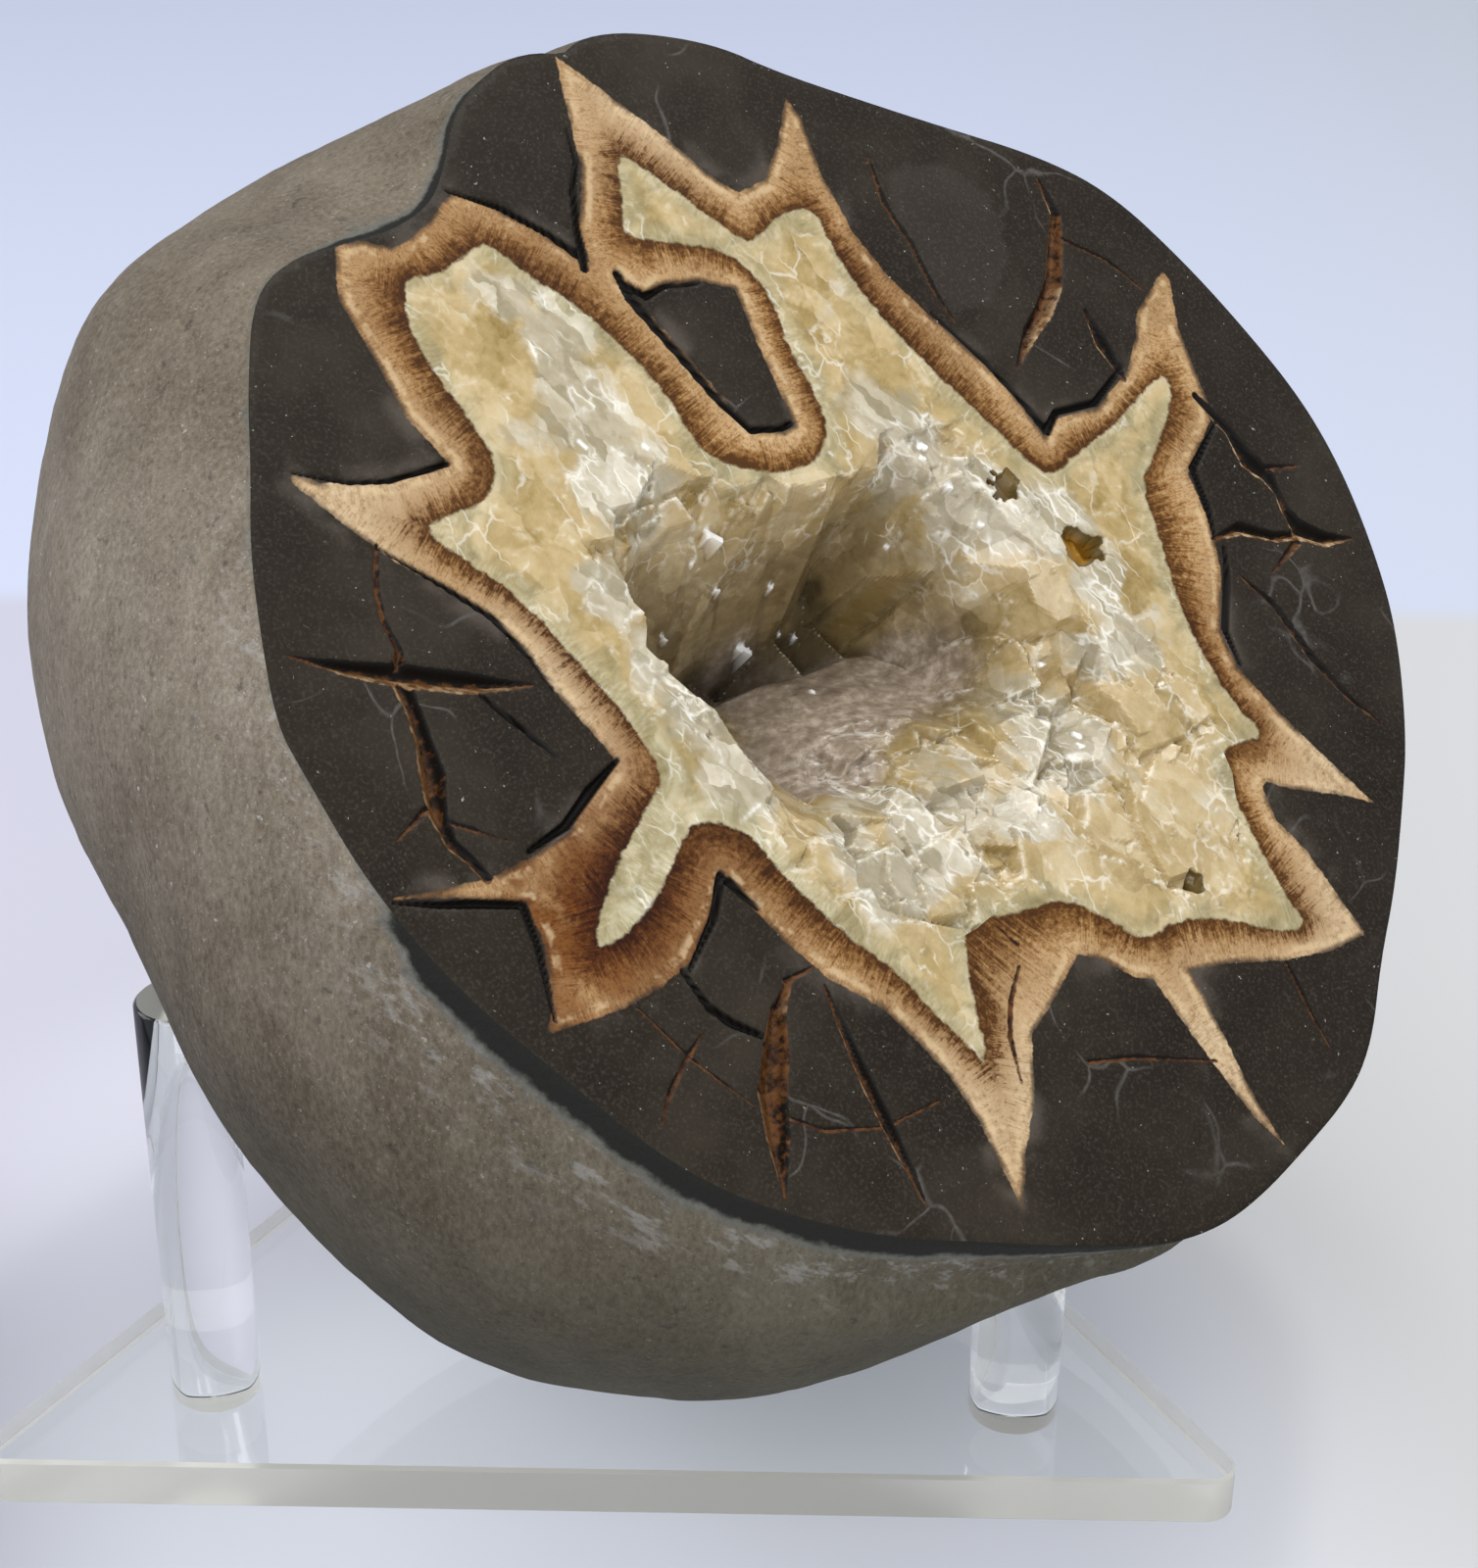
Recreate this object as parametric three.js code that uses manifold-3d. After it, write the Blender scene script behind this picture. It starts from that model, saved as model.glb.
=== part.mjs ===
// A septarian nodule, sawn open and polished on one side, on a clear stand of a plate and three rods.
// Millimetres, +Z up. The origin is the centre of the plate's underside; +Y points to the back rod.
import * as THREE from 'three';
import { ConvexGeometry } from 'three/addons/geometries/ConvexGeometry.js';
import { mergeVertices } from 'three/addons/utils/BufferGeometryUtils.js';
import Module from 'manifold-3d';

const wasm = await Module();
wasm.setup();

// ---------- driving dimensions ----------

// Stand: an equal-sided triangle of 7.6 mm sheet and half-inch rods, glued on with flat ends.
const PLATE_SIDE = 180;
const PLATE_THICKNESS = 7.6;
const PLATE_CORNER_RADIUS = 4;
const PLATE_BEVEL = 0.7;
const ROD_DIAMETER = 12.7;
const ROD_BEVEL = 0.5;
const ROD_SIDES = 40;
const TALL_ROD_TOP = 72.5;
const SHORT_ROD_TOP = 38.7;
const RODS = [
  { name: 'post_left', x: -56.6, y: -35, top: TALL_ROD_TOP },
  { name: 'post_right', x: 56.9, y: -36.9, top: SHORT_ROD_TOP },
  { name: 'post_back', x: 0, y: 66.5, top: TALL_ROD_TOP },
];

// The polished face: where its middle is, and which way it looks.
const FACE_CENTRE = new THREE.Vector3(34.6, -40.2, 131.1);
const FACE_TURN = THREE.MathUtils.degToRad(35);
const FACE_ELEVATION = THREE.MathUtils.degToRad(42);

// The stone behind the face. In the face's own frame x runs right, y up the face, z out of it.
const STONE_DEPTH = 122.3;
const BELLY_DEPTH = 33.5;
const BACK_ROUNDNESS = 2.2;
const STONE_CORE = new THREE.Vector3(0, 0, -35);
const SECTORS = 108;
const FRONT_RINGS = 4;
const BACK_RINGS = 10;

// Edge of the face, with the bay at the upper left where the rind dips in.
const RIM = [
  [79, 3.5], [77.5, 14], [73.5, 25], [68, 37], [61, 48.5], [52, 55.5], [39, 62], [28.5, 67.5],
  [17.5, 73.5], [10.5, 78.5], [-1, 82], [-8.5, 82], [-11, 80], [-15, 81], [-20, 80.5], [-26, 77],
  [-29.5, 74], [-33, 68], [-36.5, 63.5], [-43, 61], [-50, 60.5], [-56, 60], [-62.5, 56.5],
  [-67.5, 45], [-70.5, 36], [-74, 27], [-76.5, 17], [-78.5, 6.5], [-77.5, 0.5], [-75, -13.5],
  [-69.5, -27.5], [-62, -39.5], [-54, -52], [-45.5, -60.5], [-32, -69], [-20.5, -73.5], [-8, -78.5],
  [4, -82.5], [12, -83], [19.5, -81.5], [28, -78.5], [38, -74.5], [44.5, -69.5], [51, -60.5],
  [58, -52.5], [65, -42.5], [70.5, -34], [76.5, -20], [78.5, -8.5],
];

// Radius of the widest ring, every 15 degrees from the right, turning towards the top.
const BELLY = [
  88, 88, 86.5, 85.5, 85, 86.5, 88.5, 90, 94.5, 98.5, 94.5, 90.5,
  87.5, 88, 88.5, 89.5, 89, 86.5, 82.5, 84, 86.5, 88, 88.5, 88.5,
];

// Dimples where the stone sits on the two front rods: a place in the face's frame and a depth.
const SEATS = [
  { at: new THREE.Vector3(-65, -6, -81), depth: 12.2, spread: 16 },
  { at: new THREE.Vector3(14, -69, -58), depth: 10, spread: 16 },
];

// The hollow: its mouth in the face, and how it narrows with depth.
const MOUTH = [
  [-26, 30], [-19, 26], [-13, 21.5], [-5, 20.5], [2, 20], [8, 23], [14.5, 25], [22, 22.5],
  [26, 15], [30, 9], [31, 0], [33, -4], [37, -11], [41, -20.5], [41, -31.5], [37, -43],
  [28.5, -46], [19.5, -42.5], [12.5, -38], [4, -37], [-4, -39.5], [-13, -41], [-16.5, -33],
  [-19, -26], [-24, -23.5], [-27, -16], [-30, -8], [-33, -2], [-35, 4], [-34, 8.5],
  [-35, 15], [-31.5, 20.5],
];
const HOLLOW_LEVELS = [
  { depth: -3, scale: 1, x: 0, y: -5 },
  { depth: 4, scale: 1, x: 0, y: -5 },
  { depth: 13, scale: 0.92, x: 1, y: -4 },
  { depth: 24, scale: 0.8, x: 3, y: -1 },
  { depth: 34, scale: 0.64, x: 5, y: 2 },
  { depth: 43, scale: 0.4, x: 6, y: 4 },
];
const MOUTH_CENTRE = [0, -5];

// Crystals that line the hollow.
const CRUST_GAP = 0.4;
const CRUST_TOP = 0.3;
const ABOVE_FACE = 3;
const SHELF_DEPTH = 4.5;
const PIT_MOUTH = [
  [-25, 25], [-32, 14], [-31.5, 3], [-26, -6], [-22.5, -16], [-19, -21.5], [-13, -20.5],
  [2, -18], [15, -13.5], [26.5, -10], [28, -4], [23.5, 9], [11.5, 17.5], [-13, 19],
];
const PIT_WAIST = [[-24, 18], [-25, 4], [-16, -14], [4, -12], [22, -6], [21, 8], [2, 16]];
const PIT_WAIST_DEPTH = 16;
const PIT_FLOOR = [[-5, 9], [4, 13], [15, 10], [18, 3], [9, -1], [-3, 3]];
const PIT_FLOOR_DEPTH = 38;
const SHELF = [
  [23, 19], [30, 8], [30, -3], [35, -11], [39, -20.5], [39, -31.5], [35.5, -41.5], [28.5, -44],
  [19.5, -40.5], [12.5, -36], [4, -35], [-4, -37.5], [-12, -38.5], [-15, -32], [-15, -22],
  [8, -14], [24, -8], [20, 10],
];

// ---------- helpers ----------

/** The solid of a closed geometry, for joining and cutting. */
function toSolid(geometry) {
  const bare = geometry.clone();
  bare.deleteAttribute('normal');
  bare.deleteAttribute('uv');
  const merged = mergeVertices(bare, 1e-4);
  const vertProperties = new Float32Array(merged.attributes.position.array);
  const triVerts = new Uint32Array(merged.index.array);
  return new wasm.Manifold(new wasm.Mesh({ numProp: 3, vertProperties, triVerts }));
}

/** The geometry of a solid. */
function toGeometry(solid) {
  const mesh = solid.getMesh();
  const geometry = new THREE.BufferGeometry();
  geometry.setAttribute('position', new THREE.BufferAttribute(mesh.vertProperties, 3));
  geometry.setIndex(new THREE.BufferAttribute(mesh.triVerts, 1));
  geometry.computeVertexNormals();
  return geometry;
}

/** The largest connected body of a solid. */
function largestBody(solid) {
  const bodies = solid.decompose();
  return bodies.reduce((best, body) => (body.volume() > best.volume() ? body : best));
}

/** A closed geometry from rings of equal length, first to last, with flat ends. */
function loftRings(rings) {
  const count = rings[0].length;
  const positions = [];
  const index = [];
  for (const ring of rings) {
    for (const point of ring) positions.push(point.x, point.y, point.z);
  }
  for (let r = 0; r + 1 < rings.length; r++) {
    for (let i = 0; i < count; i++) {
      const a = r * count + i;
      const b = r * count + ((i + 1) % count);
      index.push(a, a + count, b, b, a + count, b + count);
    }
  }
  addEnd(positions, index, rings[0], 0, false);
  addEnd(positions, index, rings[rings.length - 1], (rings.length - 1) * count, true);
  const geometry = new THREE.BufferGeometry();
  geometry.setAttribute('position', new THREE.Float32BufferAttribute(positions, 3));
  geometry.setIndex(index);
  return geometry;
}

/** Closes one end of a loft with triangles cut from the ring's own outline. */
function addEnd(positions, index, ring, start, flip) {
  const outline = ring.map((point) => new THREE.Vector2(point.x, point.y));
  for (const [a, b, c] of THREE.ShapeUtils.triangulateShape(outline, [])) {
    if (flip) index.push(start + c, start + b, start + a);
    else index.push(start + a, start + b, start + c);
  }
}

/** Smooth periodic function through values at equal steps of a full turn. */
function periodic(values) {
  const count = values.length;
  return (angle) => {
    const place = (angle / (2 * Math.PI)) * count;
    const base = Math.floor(place);
    const t = place - base;
    const [p0, p1, p2, p3] = [-1, 0, 1, 2].map((k) => values[(base + k + 2 * count) % count]);
    const slopeIn = (p2 - p0) / 2;
    const slopeOut = (p3 - p1) / 2;
    const t2 = t * t;
    const t3 = t2 * t;
    return (2 * t3 - 3 * t2 + 1) * p1 + (t3 - 2 * t2 + t) * slopeIn
      + (3 * t2 - 2 * t3) * p2 + (t3 - t2) * slopeOut;
  };
}

/** Distance from the middle to an outline, at each of the stone's sectors. */
function outlineRadii(points) {
  const corners = points.map(([x, y]) => new THREE.Vector3(x, y, 0));
  const curve = new THREE.CatmullRomCurve3(corners, true, 'centripetal');
  const samples = curve.getPoints(points.length * 16).map((p) => {
    return { angle: (Math.atan2(p.y, p.x) + 2 * Math.PI) % (2 * Math.PI), radius: Math.hypot(p.x, p.y) };
  });
  samples.sort((a, b) => a.angle - b.angle);
  const last = samples[samples.length - 1];
  samples.unshift({ angle: last.angle - 2 * Math.PI, radius: last.radius });
  samples.push({ angle: samples[1].angle + 2 * Math.PI, radius: samples[1].radius });
  const radii = [];
  let k = 0;
  for (let i = 0; i < SECTORS; i++) {
    const angle = (i / SECTORS) * 2 * Math.PI;
    while (samples[k + 1].angle < angle) k++;
    const t = (angle - samples[k].angle) / (samples[k + 1].angle - samples[k].angle);
    radii.push(THREE.MathUtils.lerp(samples[k].radius, samples[k + 1].radius, t));
  }
  return radii;
}

/** Repeatable pseudo-random numbers from 0 to 1. */
function randomSource(seed) {
  let state = seed;
  return () => {
    state = (state * 1664525 + 1013904223) % 4294967296;
    return state / 4294967296;
  };
}

// ---------- the stone ----------

/** Low swells of the rind, which fade out at the cut. */
function rindSwell(point) {
  const depth = -point.z;
  const fade = THREE.MathUtils.smoothstep(depth, 4, 26);
  const broad = Math.sin(point.x / 21 + 1.3) * Math.sin(point.y / 17 + depth / 23);
  const fine = Math.sin(point.x / 8 - depth / 11) * Math.sin(point.y / 9 + 0.7);
  return fade * (0.9 * broad + 0.45 * fine);
}

/** Moves a point of the rind in or out for its swells and for the seats on the rods. */
function shapeRind(point) {
  const outward = point.clone().sub(STONE_CORE).normalize();
  let offset = rindSwell(point);
  for (const seat of SEATS) {
    const distance = point.distanceTo(seat.at);
    offset -= seat.depth * Math.exp((-distance * distance) / (2 * seat.spread * seat.spread));
  }
  return point.addScaledVector(outward, offset);
}

/** One ring of the stone, from a function that gives its radius at each sector. */
function stoneRing(depth, radiusAt) {
  const ring = [];
  for (let i = 0; i < SECTORS; i++) {
    const angle = (i / SECTORS) * 2 * Math.PI;
    const radius = radiusAt(i, angle);
    ring.push(new THREE.Vector3(radius * Math.cos(angle), radius * Math.sin(angle), -depth));
  }
  return ring;
}

/** The whole stone behind its flat face, without the hollow. */
function stoneBody() {
  const rim = outlineRadii(RIM);
  const belly = periodic(BELLY);
  const widest = (i, angle) => Math.max(belly(angle), rim[i] + 0.5);
  const rings = [];
  for (let k = 0; k <= FRONT_RINGS; k++) {
    const depth = (BELLY_DEPTH * k) / FRONT_RINGS;
    const short = (BELLY_DEPTH - depth) / BELLY_DEPTH;
    rings.push(stoneRing(depth, (i, angle) => {
      const wide = widest(i, angle);
      return Math.sqrt(wide * wide - short * short * (wide * wide - rim[i] * rim[i]));
    }));
  }
  const backDepth = STONE_DEPTH - BELLY_DEPTH;
  for (let k = 1; k < BACK_RINGS; k++) {
    const s = Math.sin(((Math.PI / 2) * k) / BACK_RINGS);
    const shrink = (1 - s ** BACK_ROUNDNESS) ** (1 / BACK_ROUNDNESS);
    rings.push(stoneRing(BELLY_DEPTH + backDepth * s, (i, angle) => widest(i, angle) * shrink));
  }
  rings.slice(1).forEach((ring) => ring.forEach(shapeRind));
  return toSolid(loftRings(rings));
}

/** The hollow's rough shape, with its wall moved in by a gap and its top at a height. */
function hollowSolid(gap, topDepth) {
  const levels = HOLLOW_LEVELS.map((level) => ({ ...level }));
  levels[0].depth = topDepth;
  levels[levels.length - 1].depth -= gap;
  const rings = levels.map(({ depth, scale, x, y }) => MOUTH.map(([px, py]) => {
    const fromCentre = new THREE.Vector2(px - MOUTH_CENTRE[0], py - MOUTH_CENTRE[1]);
    fromCentre.setLength(fromCentre.length() * scale - gap);
    return new THREE.Vector3(x + fromCentre.x, y + fromCentre.y, -depth);
  }));
  return toSolid(loftRings(rings.map((ring) => ring.reverse())));
}

// ---------- the crystals ----------

/** A solid through points of several outlines, each at its own depth. */
function hullOf(layers) {
  const points = layers.flatMap(({ outline, depth }) => {
    return outline.map(([x, y]) => new THREE.Vector3(x, y, -depth));
  });
  return toSolid(new ConvexGeometry(points));
}

/** A straight-sided solid over an outline, from above the face down to a depth. */
function wellOf(outline, depth) {
  const shape = new THREE.Shape(outline.map(([x, y]) => new THREE.Vector2(x, y)));
  const geometry = new THREE.ExtrudeGeometry(shape, { depth: depth + ABOVE_FACE, bevelEnabled: false });
  geometry.translate(0, 0, -depth);
  return toSolid(geometry);
}

/** A cleaved block of calcite: a box sheared to its slanted habit. */
function calciteBlock({ at, size, turn, tip, roll }) {
  const geometry = new THREE.BoxGeometry(size[0], size[1], size[2]);
  const slant = new THREE.Matrix4().makeShear(0.22, 0.12, 0, 0.25, 0.1, 0.18);
  const rotation = new THREE.Matrix4().makeRotationFromEuler(new THREE.Euler(tip, roll, turn, 'ZXY'));
  geometry.applyMatrix4(slant).applyMatrix4(rotation).translate(at[0], at[1], -at[2]);
  return toSolid(geometry);
}

/** Blocks on the shelf beside the pit: rows across it, each block broken off near the face. */
function shelfBlocks() {
  const random = randomSource(41);
  const blocks = [];
  const spacing = 9.5;
  for (let y = -40; y <= 16; y += spacing) {
    for (let x = -11; x <= 38; x += spacing) {
      const at = [x + (random() - 0.5) * 5, y + (random() - 0.5) * 5, 6.5 + random() * 2.5];
      const size = [9 + random() * 4, 8 + random() * 4, 9 + random() * 2];
      const turn = random() * Math.PI;
      const tip = (random() - 0.5) * 0.8;
      const roll = (random() - 0.5) * 0.8;
      if (insideOutline(at, SHELF)) blocks.push(calciteBlock({ at, size, turn, tip, roll }));
    }
  }
  return blocks;
}

/** Whether a point lies inside an outline. */
function insideOutline([x, y], outline) {
  let inside = false;
  outline.forEach(([ax, ay], i) => {
    const [bx, by] = outline[(i + 1) % outline.length];
    if (ay > y !== by > y && x < ((bx - ax) * (y - ay)) / (by - ay) + ax) inside = !inside;
  });
  return inside;
}

/** The larger crystals that stand out of the pit's walls. */
const WALL_BLOCKS = [
  { at: [-27, 12, 13], size: [9, 13, 12], turn: 0.3, tip: 0.2, roll: 0.3 },
  { at: [-27, -1, 11], size: [9, 11, 12], turn: -0.2, tip: 0.3, roll: 0.2 },
  { at: [-21, -13, 12], size: [9, 12, 12], turn: 0.6, tip: -0.2, roll: 0.3 },
  { at: [-12, 17, 13], size: [15, 9, 18], turn: 0.2, tip: -0.5, roll: 0.1 },
  { at: [0, 17, 17], size: [14, 10, 22], turn: -0.1, tip: -0.45, roll: 0.15 },
  { at: [10, 17, 10], size: [11, 8, 15], turn: 0.5, tip: -0.4, roll: -0.2 },
  { at: [20, 12, 17], size: [12, 13, 20], turn: 0.3, tip: -0.2, roll: -0.5 },
  { at: [24, 2, 14], size: [10, 11, 18], turn: -0.3, tip: 0.1, roll: -0.5 },
  { at: [20, -8, 14], size: [11, 10, 14], turn: 0.4, tip: 0.5, roll: -0.2 },
  { at: [11, -12, 10], size: [11, 9, 12], turn: -0.5, tip: 0.6, roll: 0.1 },
  { at: [-2, -15, 15], size: [22, 8, 22], turn: 0.12, tip: 0.75, roll: 0.05 },
  { at: [2, 13, 32], size: [12, 8, 12], turn: 0.4, tip: -0.5, roll: 0.2 },
  { at: [17, 5, 34], size: [9, 9, 10], turn: 0.8, tip: 0.2, roll: -0.4 },
];

/** The crust: one mass that fills the hollow's wall, less the pit, with its crystals grown on. */
function crustSolid() {
  const filling = hollowSolid(CRUST_GAP, CRUST_TOP);
  const pit = hullOf([
    { outline: PIT_MOUTH, depth: -ABOVE_FACE },
    { outline: PIT_MOUTH, depth: 1 },
    { outline: PIT_WAIST, depth: PIT_WAIST_DEPTH },
    { outline: PIT_FLOOR, depth: PIT_FLOOR_DEPTH },
  ]);
  const base = filling.subtract(pit).subtract(wellOf(SHELF, SHELF_DEPTH));
  const blocks = [...shelfBlocks(), ...WALL_BLOCKS.map(calciteBlock)];
  const grown = blocks.reduce((sum, block) => sum.add(block), base);
  return largestBody(grown.intersect(filling));
}

// ---------- the stand ----------

/** The triangular base plate, its corners rounded and its edges eased. */
function plateGeometry() {
  const inset = PLATE_BEVEL;
  const radius = PLATE_CORNER_RADIUS - inset;
  const reach = PLATE_SIDE / Math.sqrt(3) - 2 * PLATE_CORNER_RADIUS;
  const shape = new THREE.Shape();
  for (let corner = 0; corner < 3; corner++) {
    const angle = Math.PI / 2 + (corner * 2 * Math.PI) / 3;
    const x = reach * Math.cos(angle);
    const y = reach * Math.sin(angle);
    shape.absarc(x, y, radius, angle - Math.PI / 3, angle + Math.PI / 3, false);
  }
  const geometry = new THREE.ExtrudeGeometry(shape, {
    depth: PLATE_THICKNESS - 2 * inset,
    bevelThickness: inset,
    bevelSize: inset,
    bevelSegments: 2,
    curveSegments: 10,
  });
  return geometry.translate(0, 0, inset);
}

/** A round rod that stands on the plate, with flat ends and an eased top edge. */
function rodGeometry(height) {
  const radius = ROD_DIAMETER / 2;
  const profile = [
    new THREE.Vector2(0, 0),
    new THREE.Vector2(radius, 0),
    new THREE.Vector2(radius, height - ROD_BEVEL),
    new THREE.Vector2(radius - ROD_BEVEL, height),
    new THREE.Vector2(0, height),
  ];
  return new THREE.LatheGeometry(profile, ROD_SIDES).rotateX(Math.PI / 2);
}

// ---------- assembly ----------

const material = (color, roughness, extra = {}) => {
  return new THREE.MeshStandardMaterial({ color, roughness, metalness: 0, ...extra });
};
const stoneMaterial = material('#5a524a', 0.6);
const calciteMaterial = material('#d8cfa4', 0.25);
const acrylicMaterial = material('#e4e6e4', 0.05, { transparent: true, opacity: 0.35 });

function part(name, geometry, partMaterial) {
  const mesh = new THREE.Mesh(geometry, partMaterial);
  mesh.name = name;
  return mesh;
}

const stone = new THREE.Group();
stone.position.copy(FACE_CENTRE);
stone.rotation.set(Math.PI / 2 - FACE_ELEVATION, 0, FACE_TURN, 'ZXY');
const noduleSolid = stoneBody().subtract(hollowSolid(0, -ABOVE_FACE));
stone.add(part('nodule', toGeometry(noduleSolid), stoneMaterial));
stone.add(part('crystal_crust', toGeometry(crustSolid()), calciteMaterial));

const stand = new THREE.Group();
stand.add(part('stand_plate', plateGeometry(), acrylicMaterial));
for (const rod of RODS) {
  const mesh = part(rod.name, rodGeometry(rod.top - PLATE_THICKNESS), acrylicMaterial);
  mesh.position.set(rod.x, rod.y, PLATE_THICKNESS);
  stand.add(mesh);
}

const object = new THREE.Group();
object.add(stone, stand);

export default object;
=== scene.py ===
"""The looks of a septarian nodule that rests on a clear three-rod stand.

The face's outlines are in millimetres in the polished face's own frame: x to the right, y up
the face, and depth behind it. The CAD pieces give the sizes, and every piece here stands where
its node is.
"""

import math
from functools import reduce

import bmesh
import bpy
import numpy as np
from mathutils import Matrix, Vector
from mathutils.geometry import delaunay_2d_cdt


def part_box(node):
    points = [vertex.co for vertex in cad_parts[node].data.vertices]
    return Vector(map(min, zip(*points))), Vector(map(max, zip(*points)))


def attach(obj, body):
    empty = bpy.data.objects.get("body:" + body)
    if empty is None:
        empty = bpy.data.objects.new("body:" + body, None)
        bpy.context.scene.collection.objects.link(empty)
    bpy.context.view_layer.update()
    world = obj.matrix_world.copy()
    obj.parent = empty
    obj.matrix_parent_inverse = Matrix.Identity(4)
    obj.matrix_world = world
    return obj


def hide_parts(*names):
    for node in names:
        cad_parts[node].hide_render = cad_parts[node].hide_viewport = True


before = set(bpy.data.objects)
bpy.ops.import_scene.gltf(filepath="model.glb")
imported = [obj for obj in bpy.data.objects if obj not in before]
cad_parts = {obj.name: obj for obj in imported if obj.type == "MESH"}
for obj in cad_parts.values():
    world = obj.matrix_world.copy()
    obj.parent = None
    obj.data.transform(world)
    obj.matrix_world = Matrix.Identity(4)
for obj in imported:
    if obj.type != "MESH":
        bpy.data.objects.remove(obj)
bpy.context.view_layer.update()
MM = 0.001

# ---------- the face's frame and the camera

FACE_CENTRE = np.array([34.6, -40.2, 131.1])
FACE_TURN = math.radians(35)
FACE_ELEVATION = math.radians(42)
FACE_OUT = np.array([
    math.sin(FACE_TURN) * math.cos(FACE_ELEVATION),
    -math.cos(FACE_TURN) * math.cos(FACE_ELEVATION),
    math.sin(FACE_ELEVATION),
])
FACE_RIGHT = np.array([math.cos(FACE_TURN), math.sin(FACE_TURN), 0.0])
FACE_UP = np.cross(FACE_OUT, FACE_RIGHT)

IMAGE_SIZE = (1508, 1600)
FOCAL_PIXELS = 3019
SENSOR_MM = 36
CAMERA_AT = (0.0230, -0.3706, 0.2784)
CAMERA_FORWARD = (-0.01455, 0.88902, -0.45763)
CAMERA_ROLL = math.radians(0.35)


def to_world(points):
    """Face-frame points (x, y, depth) in mm as world points in metres."""
    p = np.asarray(points, float)
    world = FACE_CENTRE + p[:, :1] * FACE_RIGHT + p[:, 1:2] * FACE_UP - p[:, 2:3] * FACE_OUT
    return world * MM


def add_object(name, data, materials=()):
    obj = bpy.data.objects.new(name, data)
    bpy.context.collection.objects.link(obj)
    for material in materials:
        data.materials.append(material)
    return obj


def add_camera():
    data = bpy.data.cameras.new("camera")
    camera = add_object("camera", data)
    data.sensor_fit = "AUTO"
    data.sensor_width = SENSOR_MM
    data.lens = FOCAL_PIXELS * SENSOR_MM / max(IMAGE_SIZE)
    data.clip_start = 0.01
    look = Vector(CAMERA_FORWARD).to_track_quat("-Z", "Y").to_matrix().to_4x4()
    camera.matrix_world = (
        Matrix.Translation(CAMERA_AT) @ look @ Matrix.Rotation(CAMERA_ROLL, 4, "Z")
    )
    bpy.context.scene.camera = camera


add_camera()

# ---------- outlines on the face, in mm


def points(text):
    """The points of a text such as "79 3.5, 77.5 14"."""
    return [tuple(map(float, point.split())) for point in text.split(",")]


def paths(text):
    """Lists of points, each list ended by a semicolon."""
    return [points(path) for path in text.split(";")]


RIM = points("""
    79 3.5, 77.5 14, 73.5 25, 68 37, 61 48.5, 52 55.5, 39 62, 28.5 67.5, 17.5 73.5, 10.5 78.5,
    -1 82, -8.5 82, -11 80, -15 81, -20 80.5, -26 77, -29.5 74, -33 68, -36.5 63.5, -43 61,
    -50 60.5, -56 60, -62.5 56.5, -67.5 45, -70.5 36, -74 27, -76.5 17, -78.5 6.5, -77.5 0.5,
    -75 -13.5, -69.5 -27.5, -62 -39.5, -54 -52, -45.5 -60.5, -32 -69, -20.5 -73.5, -8 -78.5,
    4 -82.5, 12 -83, 19.5 -81.5, 28 -78.5, 38 -74.5, 44.5 -69.5, 51 -60.5, 58 -52.5, 65 -42.5,
    70.5 -34, 76.5 -20, 78.5 -8.5""")

# The star of brown calcite, clockwise from the upper left arm, each arm on lines of its own.
STAR = points("""
    -50.5 60.5, -47 60.5, -43.5 59, -41 59.5, -37.5 61.5, -35 63.5, -33 64.5, -31 63.5, -28 61,
    -26 59.5, -23 56.5, -21 54.5, -19 52.5,
    -18.5 57.5, -17 60.5, -15 65, -14.5 69, -13.5 74.5, -12.5 80, -9.5 76.5, -6 72, -2 67, 2 61,
    5 58,
    7.5 58.5, 9.5 59, 13.5 63.5, 17.5 69.5, 18.5 66.5, 18 59, 19 50, 21.5 43, 25 37, 30 29,
    32.5 23.5, 34.5 17.5,
    36 19, 38 19.5, 44.5 19.5, 51.5 23.5, 55 27.5, 57 31, 64 36, 64.5 34.5, 62.5 27.5, 62 16.5,
    61 14, 54 8, 54 5, 54 0, 52.5 -6, 48.5 -13.5, 48.5 -18.5, 51.5 -25, 55 -31.5, 60.5 -41,
    55.5 -38.5, 49 -36, 45.5 -34, 44.5 -34.5, 44.5 -39, 47 -44, 50.5 -56.5, 44.5 -57, 36.5 -56,
    29.5 -54, 22.5 -53,
    23 -55.5, 23.5 -62, 24 -69.5, 25.5 -77, 23 -72.5, 21 -66.5, 19 -60, 17 -52.5,
    14.5 -51.5, 11 -48, 8 -46.5, 2.5 -50.5, -2.5 -53.5, -5.5 -60.5, -9.5 -66, -13 -72,
    -13.5 -66.5, -14 -60.5, -15.5 -54.5, -18 -49, -20.5 -44.5, -25.5 -39.5, -29 -34, -31.5 -29,
    -33.5 -24.5,
    -37 -28.5, -42 -32.5, -46 -34, -51.5 -35, -57.5 -35, -61.5 -35, -59.5 -32, -58 -25.5,
    -58 -20.5, -62.5 -19, -65.5 -17.5, -73 -15.5, -61 -16.5, -55.5 -15.5, -50 -14, -46 -11, -41 -8,
    -42 -5, -44.5 0.5, -46.5 7, -49 12, -53 16.5, -58 21.5, -62.5 27.5, -66.5 33.5, -66 34.5,
    -63 32.5, -55 31, -47 31.5, -50 38, -51 45.5, -52.5 53.5, -52 56""")

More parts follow.
